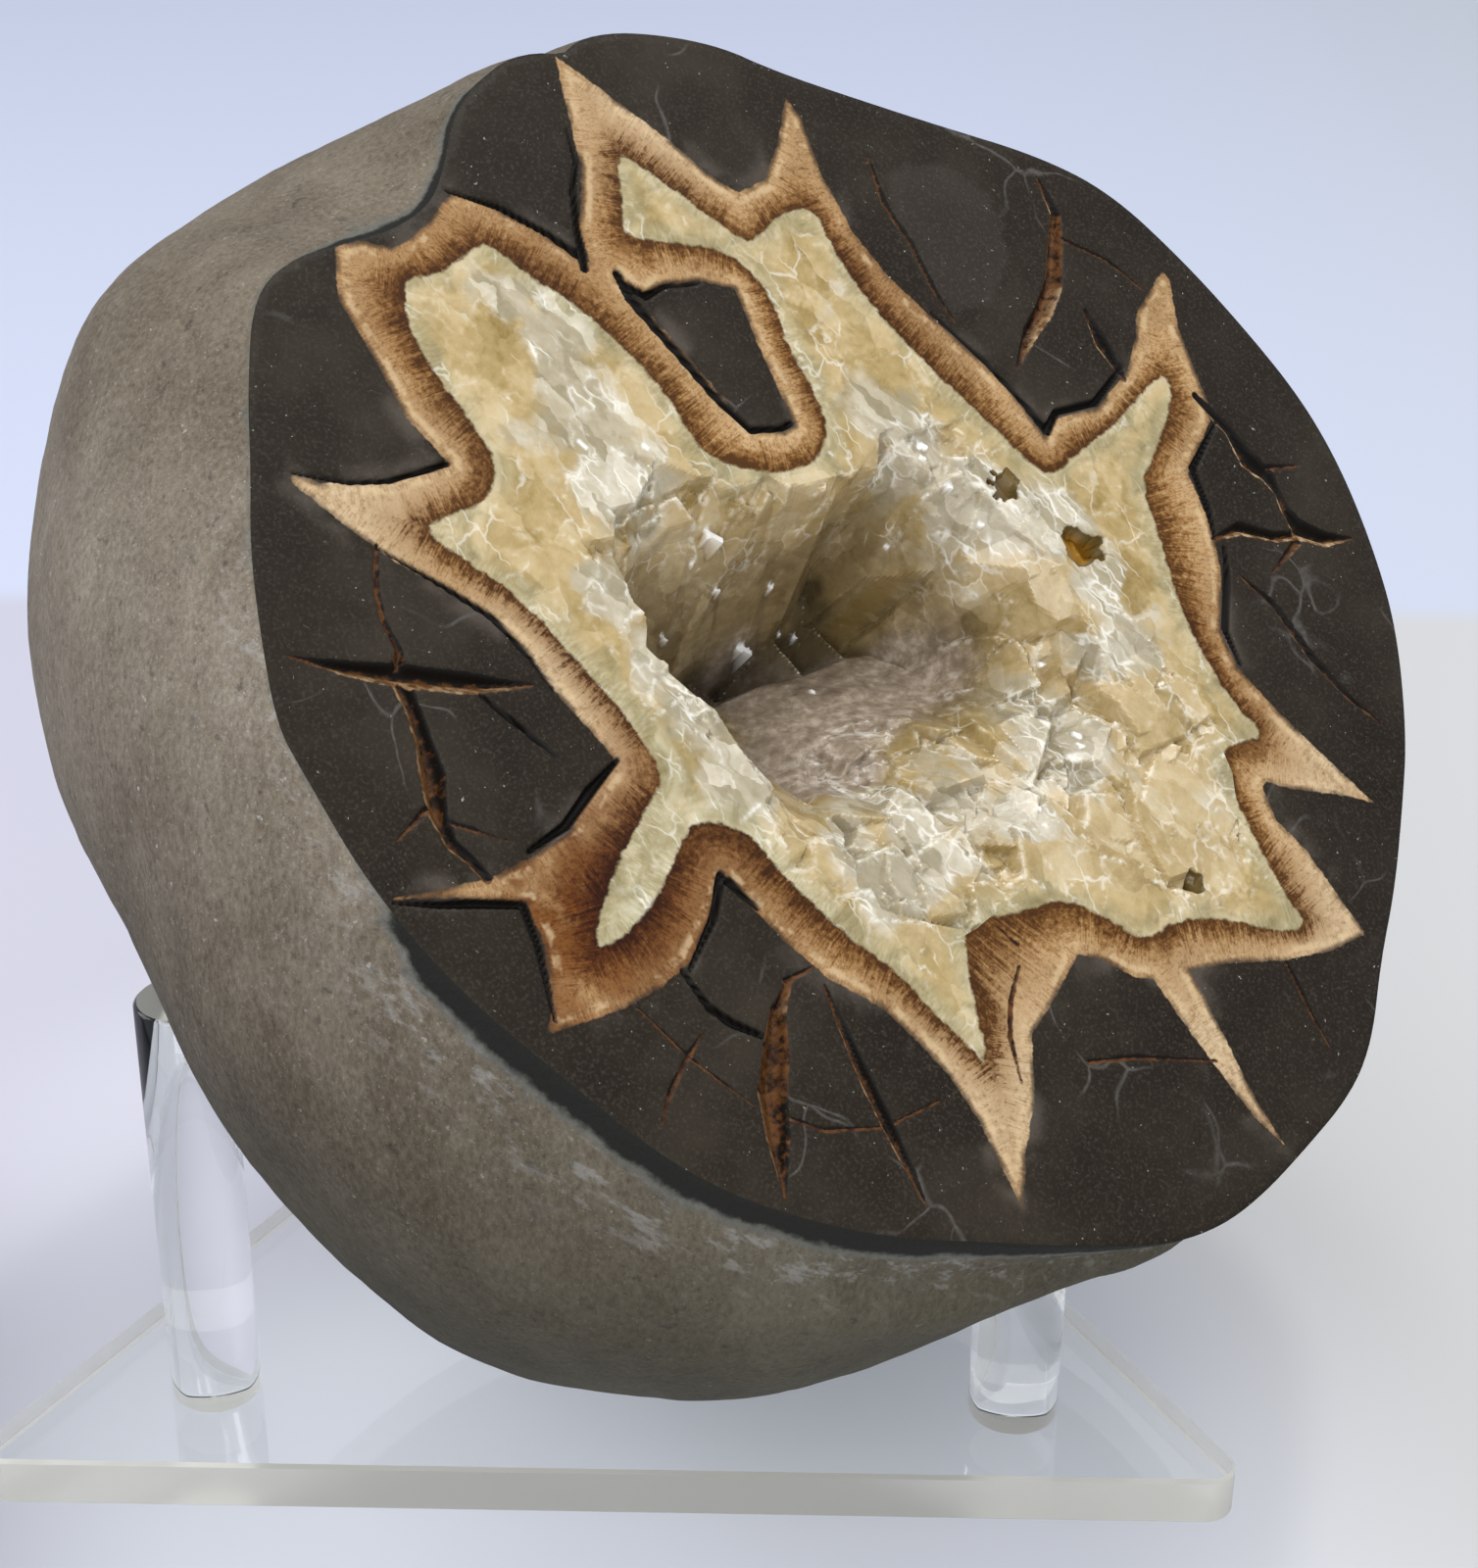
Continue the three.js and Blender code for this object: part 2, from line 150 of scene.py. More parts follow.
# Where the brown band ends and the pale calcite begins, clockwise from the upper left arm.
PALE = points("""
    -43.5 55, -39.5 54.5, -35.5 56, -32.5 57.5, -30.5 56.5, -27.5 52, -23 47.5, -19 40.5, -16 34,
    -15 27.5, -13 24.5, -10.5 23, -6.5 21.5, -3 21, 0.5 21.5, 4 25, 4 30.5, 3 37, 3.5 40.5, 3 46,
    0 50.5, -3.5 52, -12 54.5, -13 56, -11.5 59.5, -9.5 66, -8 65, -3.5 59.5, 2 52.5, 4 51,
    9.5 54, 13 54.5, 15 53, 15 49, 17 40.5, 21 31.5, 27 21.5, 31.5 13, 34 12.5, 39 14.5, 46.5 17,
    56 22, 57.5 21, 56.5 18, 50.5 12, 46 8, 45.5 1.5, 44 -7.5, 44 -14, 45.5 -22.5, 48.5 -28.5,
    43 -28, 40 -29, 40 -32.5, 40 -40, 41 -48, 42.5 -53.5, 36.5 -52, 32 -49, 23.5 -46.5, 18 -48,
    14.5 -44, 9.5 -39.5, 3 -39.5, -3.5 -38.5, -6 -39.5, -8 -46, -10 -56, -12 -51, -14.5 -46.5,
    -16.5 -41.5, -21.5 -35, -26 -26.5, -28 -21, -30 -19, -33 -17.5, -35.5 -17.5, -41 -23,
    -46 -26.5, -51.5 -28, -52 -26.5, -48 -21.5, -43.5 -17, -37 -12, -36 -10.5, -37.5 -3.5, -41 5,
    -45 14, -49.5 19.5, -53.5 24.5, -49.5 25.5, -44 26, -41 30.5, -42.5 36.5, -44.5 43,
    -45.5 48.5, -44.5 52.5""")

# The island of mudstone inside the star.
ISLAND = points("""
    -16 50, -15 48, -13.5 47, -10.5 48, -5.5 47.5, -1 45.5, -1 37.5, -0.5 28, -0.5 26.5, -2.5 26,
    -6.5 27, -8.5 31.5, -11.5 39, -15 47""")

# Veins in the mudstone: how pale the core is, and points along it with the half width there.
VEINS = [(float(core), points(path)) for core, path in (vein.split(":") for vein in """
    0: -59.5 24 0.2, -61.5 18.5 0.35, -62 15 0.35, -61.5 11.5 0.5, -62.5 9 0.9;
    0.55: -74.5 14 0.1, -68.5 11 0.9, -62.5 8.5 1.5, -54.5 5.5 1.3, -47.5 3.5 0.2;
    0.5: -62.8 8 1.1, -62.5 4 1, -62.7 0.5 1.1, -63.2 -3.5 1.6, -64.3 -8 1.1, -64 -11.5 0.8,
    -62.5 -14 0.7, -61.5 -16.5 0.6;
    0.2: -65.5 -7 0.5, -70 -9.5 0.1;
    0.1: -63.5 -9 0.4, -57.5 -13 0.1;
    0.5: -30.5 -38 0.3, -33.5 -41 1, -35.5 -45 1.7, -38 -49.5 1.9, -39.5 -54.5 1.5, -41.5 -61 0.1;
    0.2: -31 -38 0.5, -27 -37.5 0.2;
    0.45: -26.5 -40 0.2, -26.2 -47.5 0.7, -26 -52 0.9, -25.5 -58 0.9, -25 -64 0.5, -25 -68 0.1;
    0.3: -50 -35.5 0.15, -46 -43 0.2, -41 -50 0.1;
    0.4: -43.5 -40.5 0.15, -46.5 -42.5 0.3, -50 -45.5 0.4, -52.5 -48.5 0.1;
    0.5: -37 -53 0.2, -33.5 -55.5 0.3, -26.5 -57.5 0.2;
    0.5: -24.5 -57.5 0.2, -18 -57 0.15;
    0.6: 3.5 -59 0.3, 10 -60.5 0.35, 21 -64.5 0.15;
    0.3: 37 -56.5 0.3, 37.5 -64 0.3, 38 -68 0.1;
    0.85: 50.5 52.5 0.2, 51 47 0.8, 49.5 44 1.1, 46 37.5 1.3, 42.5 34 1.3, 39 31.5 1.1,
    34.5 27 0.1;
    0.7: 50 43.5 0.3, 56 39 0.25, 59.5 34 0.15;
    0.9: 49 33 0.3, 49.5 28 1.2, 50.5 22.5 0.4;
    0.75: 26 59.5 0.2, 25.5 53 0.45, 27 46.5 0.45, 27.5 39.5 0.35, 28.5 35 0.1;
    0.9: 60.5 18 0.5, 63.5 12 0.8, 64.5 7.5 1.5, 66.5 5 1.3, 67 2 0.6, 67 -0.5 0.8, 68 -3.5 1.6,
    71 -5.5 1.2, 76 -6.7 0.1;
    0.1: 66.5 6 0.5, 72.5 5 0.1;
    0.85: 53.5 -1.5 0.3, 58.5 -1 1, 63.5 -3.5 0.8, 67 -4 0.7;
    0.6: 66.5 -5 0.7, 60.5 -8 0.1;
    0.45: 55 -7 0.15, 58.5 -12 0.5, 61 -20.5 0.7, 64 -27 0.4, 67.5 -32 0.1;
    0: -1.5 -39.8 0.15, 0.5 -43 0.2;
    0: -0.5 -45.5 0.2, -3.5 -49 0.3, -5.5 -53 0.35, -6.5 -58.5 0.1""".split(";"))]

# Open gaps between the star and the mudstone, as lines with their half width; they are cut in and
# painted near black as shade.
GAPS = paths("""
    -59.5 23.8 0.15, -53 17 0.35, -49 12.4 0.4, -46.5 7 0.35, -45 2 0.15;
    -40.7 -7.6 0.3, -45.5 -10.2 0.7, -50 -13.2 0.6, -55.5 -14.8 0.3;
    54.8 -3 0.3, 53.4 -6.5 0.5, 49.4 -13.5 0.55, 49.4 -18.5 0.3;
    62.5 14 0.2, 55.2 8.5 0.55, 54.9 3 0.55, 54 -1.5 0.3;
    25.6 37.3 0.15, 30.6 29 0.4, 33.2 23.5 0.4, 35.4 18.2 0.7, 38 20.4 0.5, 44.5 20.4 0.5,
    51 24.2 0.3;
    -16 50.5 0.6, -15.6 47 0.7, -12.3 39 0.6, -9.2 31.5 0.6, -6.7 27.3 0.5, -2.5 26.6 0.4,
    -0.8 27 0.4;
    -15.5 49 0.5, -13.5 47 0.6, -10.5 47.7 0.3, -5.5 47.2 0.2;
    -20 52 0.6, -18.8 57.5 0.5, -17.5 62 0.4, -15.4 66 0.3, -15 70 0.1;
    -34 65 0.2, -28 61.7 0.45, -23 57.2 0.5, -19.8 53.3 0.6;
    -60 -34 0.2, -58.7 -25.5 0.4, -58.6 -21 0.5;
    -33.7 -24 0.6, -36.8 -28.5 0.5, -42 -33.2 0.25;
    -33 -25 0.6, -30.9 -29 0.3;
    -66 34.6 0.15, -60 32 0.25, -55 31.1 0.35, -47.2 31.6 0.4;
    -54 4 0.3, -51 -0.5 0.4, -49 -3.5 0.3, -47 -6.5 0.1;
    -73 -15.9 0.15, -68 -17.6 0.45, -64 -18.6 0.6, -58.5 -20.4 0.5;
    -43 -33 0.3, -41.5 -38 0.5, -39.5 -40.5 0.6, -36.5 -43 0.4""")

# The hollow's mouth and how it narrows: depth, scale and the middle of each level.
MOUTH = points("""
    -26 30, -19 26, -13 21.5, -5 20.5, 2 20, 8 23, 14.5 25, 22 22.5, 26 15, 30 9, 31 0, 33 -4,
    37 -11, 41 -20.5, 41 -31.5, 37 -43, 28.5 -46, 19.5 -42.5, 12.5 -38, 4 -37, -4 -39.5, -13 -41,
    -16.5 -33, -19 -26, -24 -23.5, -27 -16, -30 -8, -33 -2, -35 4, -34 8.5, -35 15, -31.5 20.5""")
MOUTH_CENTRE = np.array([0.0, -5.0])
HOLLOW_DEPTH = 43
HOLLOW_LEVELS = points("4 1 0 -5, 13 0.92 1 -4, 24 0.8 3 -1, 34 0.64 5 2, 43 0.4 6 4")

# ---------- distances and noise

# The direction on the face towards the wall of a vein that gets painted shade.
SHADOW_SIDE = np.array([0.5, 0.866])
MIN_WIDTH = 0.3
NOISE_CELLS = 64


def resample(outline, step):
    """Points along an outline, no further apart than step, its corners kept."""
    out = []
    for a, b in zip(np.array(outline), np.roll(outline, -1, axis=0)):
        pieces = max(1, math.ceil(np.linalg.norm(b - a) / step))
        out += [a + (b - a) * k / pieces for k in range(pieces)]
    return np.array(out)


def rounded(outline, times=1):
    """An outline with its corners cut, so that its bends are smooth."""
    p = np.array(outline)
    for _ in range(times):
        after = np.roll(p, -1, axis=0)
        p = np.stack([0.75 * p + 0.25 * after, 0.25 * p + 0.75 * after], axis=1).reshape(-1, 2)
    return p


def to_lines(xy, a, b):
    """For each point, its distance to each line from a to b, and the place along it, 0 to 1."""
    ab = b - a
    length2 = np.maximum((ab * ab).sum(1), 1e-9)
    t = np.clip(((xy[:, None] - a) * ab).sum(2) / length2, 0, 1)
    return np.linalg.norm(xy[:, None] - a - t[..., None] * ab, axis=2), t


def in_chunks(function, xy, size=6000):
    """What a function of points gives, worked out for a few points at a time."""
    parts = [function(xy[i:i + size]) for i in range(0, len(xy), size)]
    if isinstance(parts[0], tuple):
        return tuple(np.concatenate(column) for column in zip(*parts))
    return np.concatenate(parts)


def inside(xy, outline):
    """Which points lie in an outline."""
    ax, ay = np.asarray(outline, float).T
    bx, by = np.roll(ax, -1), np.roll(ay, -1)
    x, y = xy[:, :1], xy[:, 1:]
    rise = np.where(by == ay, 1e-9, by - ay)
    at = (bx - ax) * (y - ay) / rise + ax
    return (((ay > y) != (by > y)) & (x < at)).sum(1) % 2 == 1


def signed_distance(xy, outline):
    """Distance to an outline, positive inside it, and the length along it to the nearest point."""
    a = np.asarray(outline, float)
    b = np.roll(a, -1, axis=0)
    lengths = np.linalg.norm(b - a, axis=1)
    starts = np.concatenate([[0], np.cumsum(lengths)[:-1]])

    def one(xy):
        distance, t = to_lines(xy, a, b)
        k = distance.argmin(1)
        rows = np.arange(len(xy))
        sign = np.where(inside(xy, a), 1.0, -1.0)
        return sign * distance[rows, k], starts[k] + t[rows, k] * lengths[k]

    return in_chunks(one, xy)


def within(xy, outline):
    """How far inside an outline each point is, negative outside it."""
    return signed_distance(xy, outline)[0]


def to_path(xy, path):
    """How far inside a line of varying half width each point is, its side, and the half width.

    The side is measured from the line's middle towards SHADOW_SIDE, in half widths.
    """
    p = np.array(path)
    a, b = p[:-1], p[1:]

    def one(xy):
        distance, t = to_lines(xy, a[:, :2], b[:, :2])
        width = a[:, 2] + t * (b[:, 2] - a[:, 2])
        rows = np.arange(len(xy))
        k = (width - distance).argmax(1)
        nearest = a[k, :2] + t[rows, k][:, None] * (b[k, :2] - a[k, :2])
        width, distance = width[rows, k], distance[rows, k]
        return width - distance, (xy - nearest) @ SHADOW_SIDE / np.maximum(width, MIN_WIDTH), width

    return in_chunks(one, xy)


def in_paths(xy, paths):
    """How far inside the nearest of several lines each point is."""
    return np.max([to_path(xy, path)[0] for path in paths], axis=0)


def smooth_noise(x, y, seed, step):
    """Value noise from 0 to 1 on a grid of the given step, in mm."""
    table = np.random.default_rng(seed).random((NOISE_CELLS, NOISE_CELLS))
    u, v = x / step, y / step
    i, j = np.floor(u).astype(int), np.floor(v).astype(int)
    u, v = u - i, v - j
    u, v = u * u * (3 - 2 * u), v * v * (3 - 2 * v)

    def at(i, j):
        return table[i % NOISE_CELLS, j % NOISE_CELLS]

    low = at(i, j) * (1 - u) + at(i + 1, j) * u
    high = at(i, j + 1) * (1 - u) + at(i + 1, j + 1) * u
    return low * (1 - v) + high * v


def smoothstep(x, low, high):
    """0 below low, 1 above high, smooth between."""
    t = np.clip((x - low) / (high - low), 0, 1)
    return t * t * (3 - 2 * t)


def between(x, low, full, fade, high):
    """1 from full to fade, falling smoothly to 0 at low and high."""
    return smoothstep(x, low, full) * (1 - smoothstep(x, fade, high))


# ---------- mesh making


def new_mesh(name, points_mm, faces, materials, slots, attributes):
    """A flat-shaded mesh from face-frame points and triangles, with values for its points."""
    mesh = bpy.data.meshes.new(name)
    mesh.from_pydata(to_world(points_mm), [], faces)
    for key, values in attributes.items():
        mesh.attributes.new(key, "FLOAT", "POINT").data.foreach_set(
            "value", values.astype(np.float32))
    obj = add_object(name, mesh, materials)
    mesh.polygons.foreach_set("material_index", slots.astype(np.int32))
    mesh.validate()
    return obj


def fill_between(loops, inner_points):
    """Triangles over a flat region: loops are its outlines, outer first, then holes."""
    flat = np.concatenate([*loops, inner_points])
    edges = []
    for loop in loops:
        start, count = len(edges), len(loop)
        edges += [(start + i, start + (i + 1) % count) for i in range(count)]
    result = delaunay_2d_cdt([Vector(p) for p in flat], edges, [], 0, 1e-5)
    verts = np.array([tuple(v) for v in result[0]])
    tris = np.array([f for f in result[2] if len(f) == 3])
    origin = np.array([ids[0] if ids else -1 for ids in result[3]])
    outlines_round = in_chunks(lambda xy: sum(inside(xy, loop).astype(int) for loop in loops),
                               verts[tris].mean(1))
    tris = origin[tris[outlines_round == 1]]
    a, b, c = (flat[tris[:, k]] for k in range(3))
    area = (b[:, 0] - a[:, 0]) * (c[:, 1] - a[:, 1]) - (b[:, 1] - a[:, 1]) * (c[:, 0] - a[:, 0])
    tris[area < 0] = tris[area < 0][:, ::-1]
    return flat, tris


def ring_faces(starts, count, tip, turned=False):
    """Triangles over rings of count points that begin at starts, closed at a tip point."""
    i = np.arange(count)
    j = (i + 1) % count
    faces = []
    for a, b in zip(starts[:-1], starts[1:]):
        if turned:
            faces += [np.stack([b + j, a + i, b + i], 1), np.stack([a + j, a + i, b + j], 1)]
        else:
            faces += [np.stack([a + i, b + i, a + j], 1), np.stack([a + j, b + i, b + j], 1)]
    faces.append(np.stack([starts[-1] + i, np.full(count, tip), starts[-1] + j], 1))
    return np.concatenate(faces)


# ---------- the stone's form

STONE_DEPTH = 122.3
BELLY_DEPTH = 33.5
BACK_ROUNDNESS = 2.2
STONE_CORE = np.array([0.0, 0.0, 35.0])
SECTORS = 324
FRONT_RINGS = 22
BACK_RINGS = 76
# The stone's radius at its widest, every 15 degrees.
BELLY = [
    88, 88, 86.5, 85.5, 85, 86.5, 88.5, 90, 94.5, 98.5, 94.5, 90.5,
    87.5, 88, 88.5, 89.5, 89, 86.5, 82.5, 84, 86.5, 88, 88.5, 88.5,
]
GRAIN_RADIUS = 60
# Where the stone sits on the front rods: place, how deep, and how wide.
SEATS = [((-65, -6, 81), 12.2, 16), ((14, -69, 58), 10, 16)]


def periodic(values, angles):
    """A smooth curve through values at equal steps of a turn, at the given angles."""
    place = angles / (2 * math.pi) * len(values)
    base = np.floor(place).astype(int)
    t = place - base
    p0, p1, p2, p3 = (np.take(values, base + k, mode="wrap") for k in (-1, 0, 1, 2))
    m1, m2 = (p2 - p0) / 2, (p3 - p1) / 2
    return ((2 * t**3 - 3 * t**2 + 1) * p1 + (t**3 - 2 * t**2 + t) * m1
            + (3 * t**2 - 2 * t**3) * p2 + (t**3 - t**2) * m2)


def rim_radii(angles):
    """Distance from the face's middle to its edge at each angle."""
    p = rounded(RIM, 2)
    at = np.arctan2(p[:, 1], p[:, 0]) % (2 * math.pi)
    order = np.argsort(at)
    return np.interp(angles, at[order], np.hypot(p[:, 0], p[:, 1])[order], period=2 * math.pi)


def rind_offset(p):
    """How far the rind stands out (or in, at its two seats) at each point, in mm."""
    x, y, depth = p.T
    broad = np.sin(x / 21 + 1.3) * np.sin(y / 17 + depth / 23)
    fine = np.sin(x / 8 - depth / 11) * np.sin(y / 9 + 0.7)
    offset = smoothstep(depth, 4, 26) * (0.9 * broad + 0.45 * fine)
    for at, seat_depth, spread in SEATS:
        away = np.linalg.norm(p - at, axis=1)
        offset -= seat_depth * np.exp(-away**2 / (2 * spread**2))
    angle = np.arctan2(y, x)
    ledge = 0.7 * np.exp(-((depth - 14) / 4) ** 2) - 1.3 * np.exp(-((depth - 7) / 3) ** 2)
    offset += between(np.degrees(angle) % 360, 232, 252, 276, 300) * ledge
    around = angle * GRAIN_RADIUS
    pock = smooth_noise(around + 500, depth + 90, 3, 3.1) - 0.5
    grain = smooth_noise(around + 900, depth + 40, 4, 1.7) - 0.5
    return offset + smoothstep(depth, 0.5, 6) * (0.22 * pock + 0.12 * grain)


def stone_rings():
    """Points of the rind, ring by ring from the face's edge to the back."""
    angles = np.arange(SECTORS) / SECTORS * 2 * math.pi
    rim = rim_radii(angles)
    wide = np.maximum(periodic(BELLY, angles), rim + 0.5)
    levels = []
    for k in range(FRONT_RINGS + 1):
        depth = BELLY_DEPTH * (k / FRONT_RINGS) ** 1.15
        short = (BELLY_DEPTH - depth) / BELLY_DEPTH
        levels.append((np.sqrt(wide**2 - short**2 * (wide**2 - rim**2)), depth))
    for k in range(1, BACK_RINGS):
        s = math.sin(math.pi / 2 * k / BACK_RINGS)
        levels.append((wide * (1 - s**BACK_ROUNDNESS) ** (1 / BACK_ROUNDNESS),
                       BELLY_DEPTH + (STONE_DEPTH - BELLY_DEPTH) * s))
    rings = [np.stack([radius * np.cos(angles), radius * np.sin(angles),
                       np.full(SECTORS, depth)], 1) for radius, depth in levels]
    rind = np.concatenate(rings + [[(0, 0, STONE_DEPTH)]])
    out = rind - STONE_CORE
    out /= np.linalg.norm(out, axis=1)[:, None]
    out[:SECTORS] = 0
    return rind + out * rind_offset(rind)[:, None]


def hollow_rings(ring, gap):
    """The hollow's wall below a ring at its mouth, moved in by a gap: its levels and the floor."""
    away = ring - MOUTH_CENTRE
    far = np.linalg.norm(away, axis=1)[:, None]
    rings = []
    for depth, scale, x, y in HOLLOW_LEVELS:
        depth -= gap if depth == HOLLOW_DEPTH else 0
        rings.append(np.column_stack([(x, y) + away / far * (far * scale - gap),
                                      np.full(len(ring), depth)]))
    return np.concatenate(rings + [[(x, y, depth)]])


# ---------- broken crystals

CRUST_GAP = 0.4
WALL_MARGIN = 0.5
MOUTH_DEPTH = 0.35
# The direction on the face from which crystal edges get their painted highlight.
LIGHT_SIDE = np.array([0.26, 0.96])

# Corners of the hollow's large crystal faces: x, y and depth. Region by region: left lip, left
# wall, upper lip, the tongue between the walls, upper wall, low crystals, floor, violet plane,
# right wall and shelf.
FACE_CORNERS = points("""
    -23 31 1, -26 24 1, -30 17 1, -31 11.5 1.2, -31 8 1.2, -32 4.5 1.4, -30 1.5 1.4,
    -26.5 -4.5 1.4, -25.5 -9 1.4, -24 -15 1.4, -21.5 -20.5 1.6,
    -26.5 10 16, -25.5 4 18, -22 -3.5 17, -20.5 -9 15, -18.5 -14.5 11, -14 2 36,
    -20 23 2.5, -14.5 21 3, -7.5 18.5 3, -1 18 3, 3 17.5 3, 6.5 19.5 3, 11.5 22.5 3,
    14 19 4, 13.5 17.5 8, 11.5 14 16, 9.5 14 20, 7.5 15 20,
    -24 18 7, -16.5 17 8.5, -10.5 14.5 11, -2 14 14, -2 16.5 9, -21 11.5 18, -18 8 22,
    -13.5 7.5 25, -9 10 22, -2 8.5 27, 3.5 8 30, 9 9 31, 9.5 12.5 28,
    -9.5 6 33, -2.5 6 34, 2 7.5 33,
    -3 4 39, 7 5 40, 15.5 5.5 38,
    -10.5 1 28, -2.5 2 27.5, 3.5 1.5 27, 10 2 26, 13 1.5 25, 16 -4 20, 14 -7 18, 1.5 -7.5 17,
    -2.5 -11 14, -3 -14.5 12, -4 -17.5 10, -11.5 -20 8, -14.5 -21 7, -10.5 -2 25, -12 -9.5 20,
    -14 -18 12,
    9 14 24, 10.5 8.5 31, 14 4 32, 15.5 -0.5 25, 16 5 22, 20 -1.5 16, 20.5 -4.5 14, 21.5 -8.5 10,
    26.5 -10 6, 30 -8 3.5, 14.5 16 8, 20.5 14.5 3, 24 10.5 3, 26.5 6 2.5, 25 1.5 4, 25 -2.5 5,
    27 -7 4, 18 6.5 12, 12 10 18,
    19.5 -13.5 9, 13.5 -16.5 8.5, 6 -13.5 11, 2.5 -19.5 7.5, -7.5 -23 5, 25.5 -13 6, 23.5 -21.5 4,
    14 -22.5 5, 4.5 -27 3.5, -4.5 -30 3, 33 -16.5 2.5, 28 -29 2, 16.5 -32.5 1.8, 2.5 -35 1.5,
    -14 -27.5 2.5, -10.5 -35 1.5""")

# The tall wall at the back of the hollow, which broke along large smooth faces.
SMOOTH_WALL = points("""
    -27 15, -20 18.5, -9 17.5, 2 17, 8 18.5, 15 17, 16 9, 14 0, 4 6, -9 3.5, -15 1, -22 -1,
    -28 4""")

# A patch of the polished calcite in the upper left arm that is broken too.
PATCH = points("""
    -36.5 47.5, -34 43.5, -31 37.5, -28 31.5, -24 29, -28.5 19, -32 14.5, -35.5 18, -36 25.5,
    -36 32, -37.5 39, -39 44.5""")

# Small pits: x, y, radius, depth and how amber their lining is.
PITS = [(25.5, 12.5, 1.9, 2.6, 0.55), (33.5, 2, 2.5, 3.0, 1.0), (29, -43, 1.3, 1.8, 0.4)]

# Where the calcite is milky, violet-grey or amber: x, y and radius.
CALCITE_SPOTS = {
    "milky": points(
        "-28 44 4, -27.5 35 5, -28 25 4, -31.5 49.5 2.5, 12.5 25.5 4, 15.5 19.5 4, 19 13 4, "
        "-34 11 3.5, -32 4 3.5, -29 -5 3.5, -26 -13 4, -16 -25 4.5, -6 -19 4, 2 -22 5, 21 -21 5, "
        "-13 -33 4.5, -7 -29 4, 34 -10.5 4, 26 8 4, 31 6 4, 34 -2 3.5, 10 -28 4, -4 -24 4, "
        "18 -12 4"),
    "violet": points("-1.5 -4 7, 6 -3 6, 13.5 -3 5, -8 -13 6, -3 1 6"),
    "amber": points("14 7 1.9, 13 3.5 1.8"),
    "shaded": points(
        "5 5.5 3, 10 5.5 2.6, -2 4.5 2.6, 9.5 12.5 1.8, 9 9 2.2, -9 4.5 2.6, 1.5 4 2.6, "
        "-14 3 2.4, 13 3 1.5"),
}

# Where the brown band is lighter, darker or rusty: x, y and radius.
BAND_SPOTS = {
    "tan": points("-9 -58 8, 22 -64 7, 46 -53 7, -45 4 8, -60 30 7, -2 70 7, 56 -34 6"),
    "dim": points("-38 58 9, -24 55 8, -46 50 7, 20 45 9, -30 -27 7, 47 -16 7"),
    "rust": [(-52, -22, 18)],
}

# Cleavage faces that mirror the lamp over the stone, their colour also painted near white as a
# highlight: x, y, radius.
GLINTS = points("""
    -14 17 1, -2.5 7.5 0.9, -21.5 28 0.6, -20.5 27 0.35, 18.5 14.5 0.5, 17 20.5 0.8, 16.5 19 0.4,
    1.5 -1.5 0.35, 11.5 -28 0.35, 23 -20.5 0.45, 21.5 9 0.4, -18 9.5 0.5, 4.5 8.5 0.4, -5 -24 0.4,
    -29.5 30 0.4, 24.5 -10 0.35, -1 12 0.4, -11 12.5 0.4, 8 8 0.35, 22.5 -22 0.3, -15.5 15.5 0.4,
    14 12 0.3""")
GLINT_SLOPE = np.array([-0.245, 0.383])


def blobs(xy, spots):
    """1 at each spot's middle, falling off with its radius."""
    return np.max([np.exp(-((xy - (x, y)) ** 2).sum(1) / (2 * radius**2))
                   for x, y, radius in spots], axis=0)


def hollow_triangles():
    """The large crystal faces as planes over triangles."""
    corners = [(x, y, MOUTH_DEPTH) for x, y in MOUTH] + FACE_CORNERS
    result = delaunay_2d_cdt([Vector(c[:2]) for c in corners], [], [], 0, 1e-5)
    origin = [ids[0] for ids in result[3]]
    return [[corners[origin[i]] for i in face] for face in result[2]]


HOLLOW_TRIANGLES = hollow_triangles()


def hollow_depth(xy):
    """Depth of the large crystal faces; the mouth's depth outside them."""
    depth = np.full(len(xy), MOUTH_DEPTH)
    x, y = xy.T
    for (ax, ay, az), (bx, by, bz), (cx, cy, cz) in HOLLOW_TRIANGLES:
        area = (bx - ax) * (cy - ay) - (cx - ax) * (by - ay)
        s = ((x - ax) * (cy - ay) - (cx - ax) * (y - ay)) / area
        t = ((bx - ax) * (y - ay) - (x - ax) * (by - ay)) / area
        hit = (s >= -1e-6) & (t >= -1e-6) & (s + t <= 1 + 1e-6)
        depth[hit] = (az + s * (bz - az) + t * (cz - az))[hit]
    return depth


def flake_field(seed, spacing, stand, tilt):
    """Crystals at jittered places over the calcite: six-sided flakes, each tilted its own way.

    Each is its middle, the headings and distances of its sides, its tilt, how far it stands out
    of its bed, its tone, and how far it reaches.
    """
    rng = np.random.default_rng(seed)
    gx, gy = np.meshgrid(np.arange(-58, 60, spacing), np.arange(-60, 70, spacing))
    at = np.stack([gx.ravel(), gy.ravel()], 1)
    at += (rng.random(at.shape) - 0.5) * spacing * 1.1
    at = at[within(at, PALE) > -spacing / 2]
    count = len(at)
    headings = (np.arange(6) + rng.random((count, 6)) * 0.8) * math.pi / 3
    return list(zip(at, np.stack([np.cos(headings), np.sin(headings)], 2),
                    spacing * (0.36 + 0.5 * rng.random((count, 6))),
                    (rng.random((count, 2)) - 0.5) * 2 * tilt,
                    stand[0] + rng.random(count) * (stand[1] - stand[0]),
                    rng.random(count), np.full(count, spacing * 1.6)))


FLAKES = (flake_field(31, 8.0, (0.2, 3.2), 0.42) + flake_field(32, 4.6, (-0.1, 2.3), 0.45)
          + flake_field(33, 2.4, (-0.9, 0.9), 0.5))
FLAKE_STEEP = 2.4


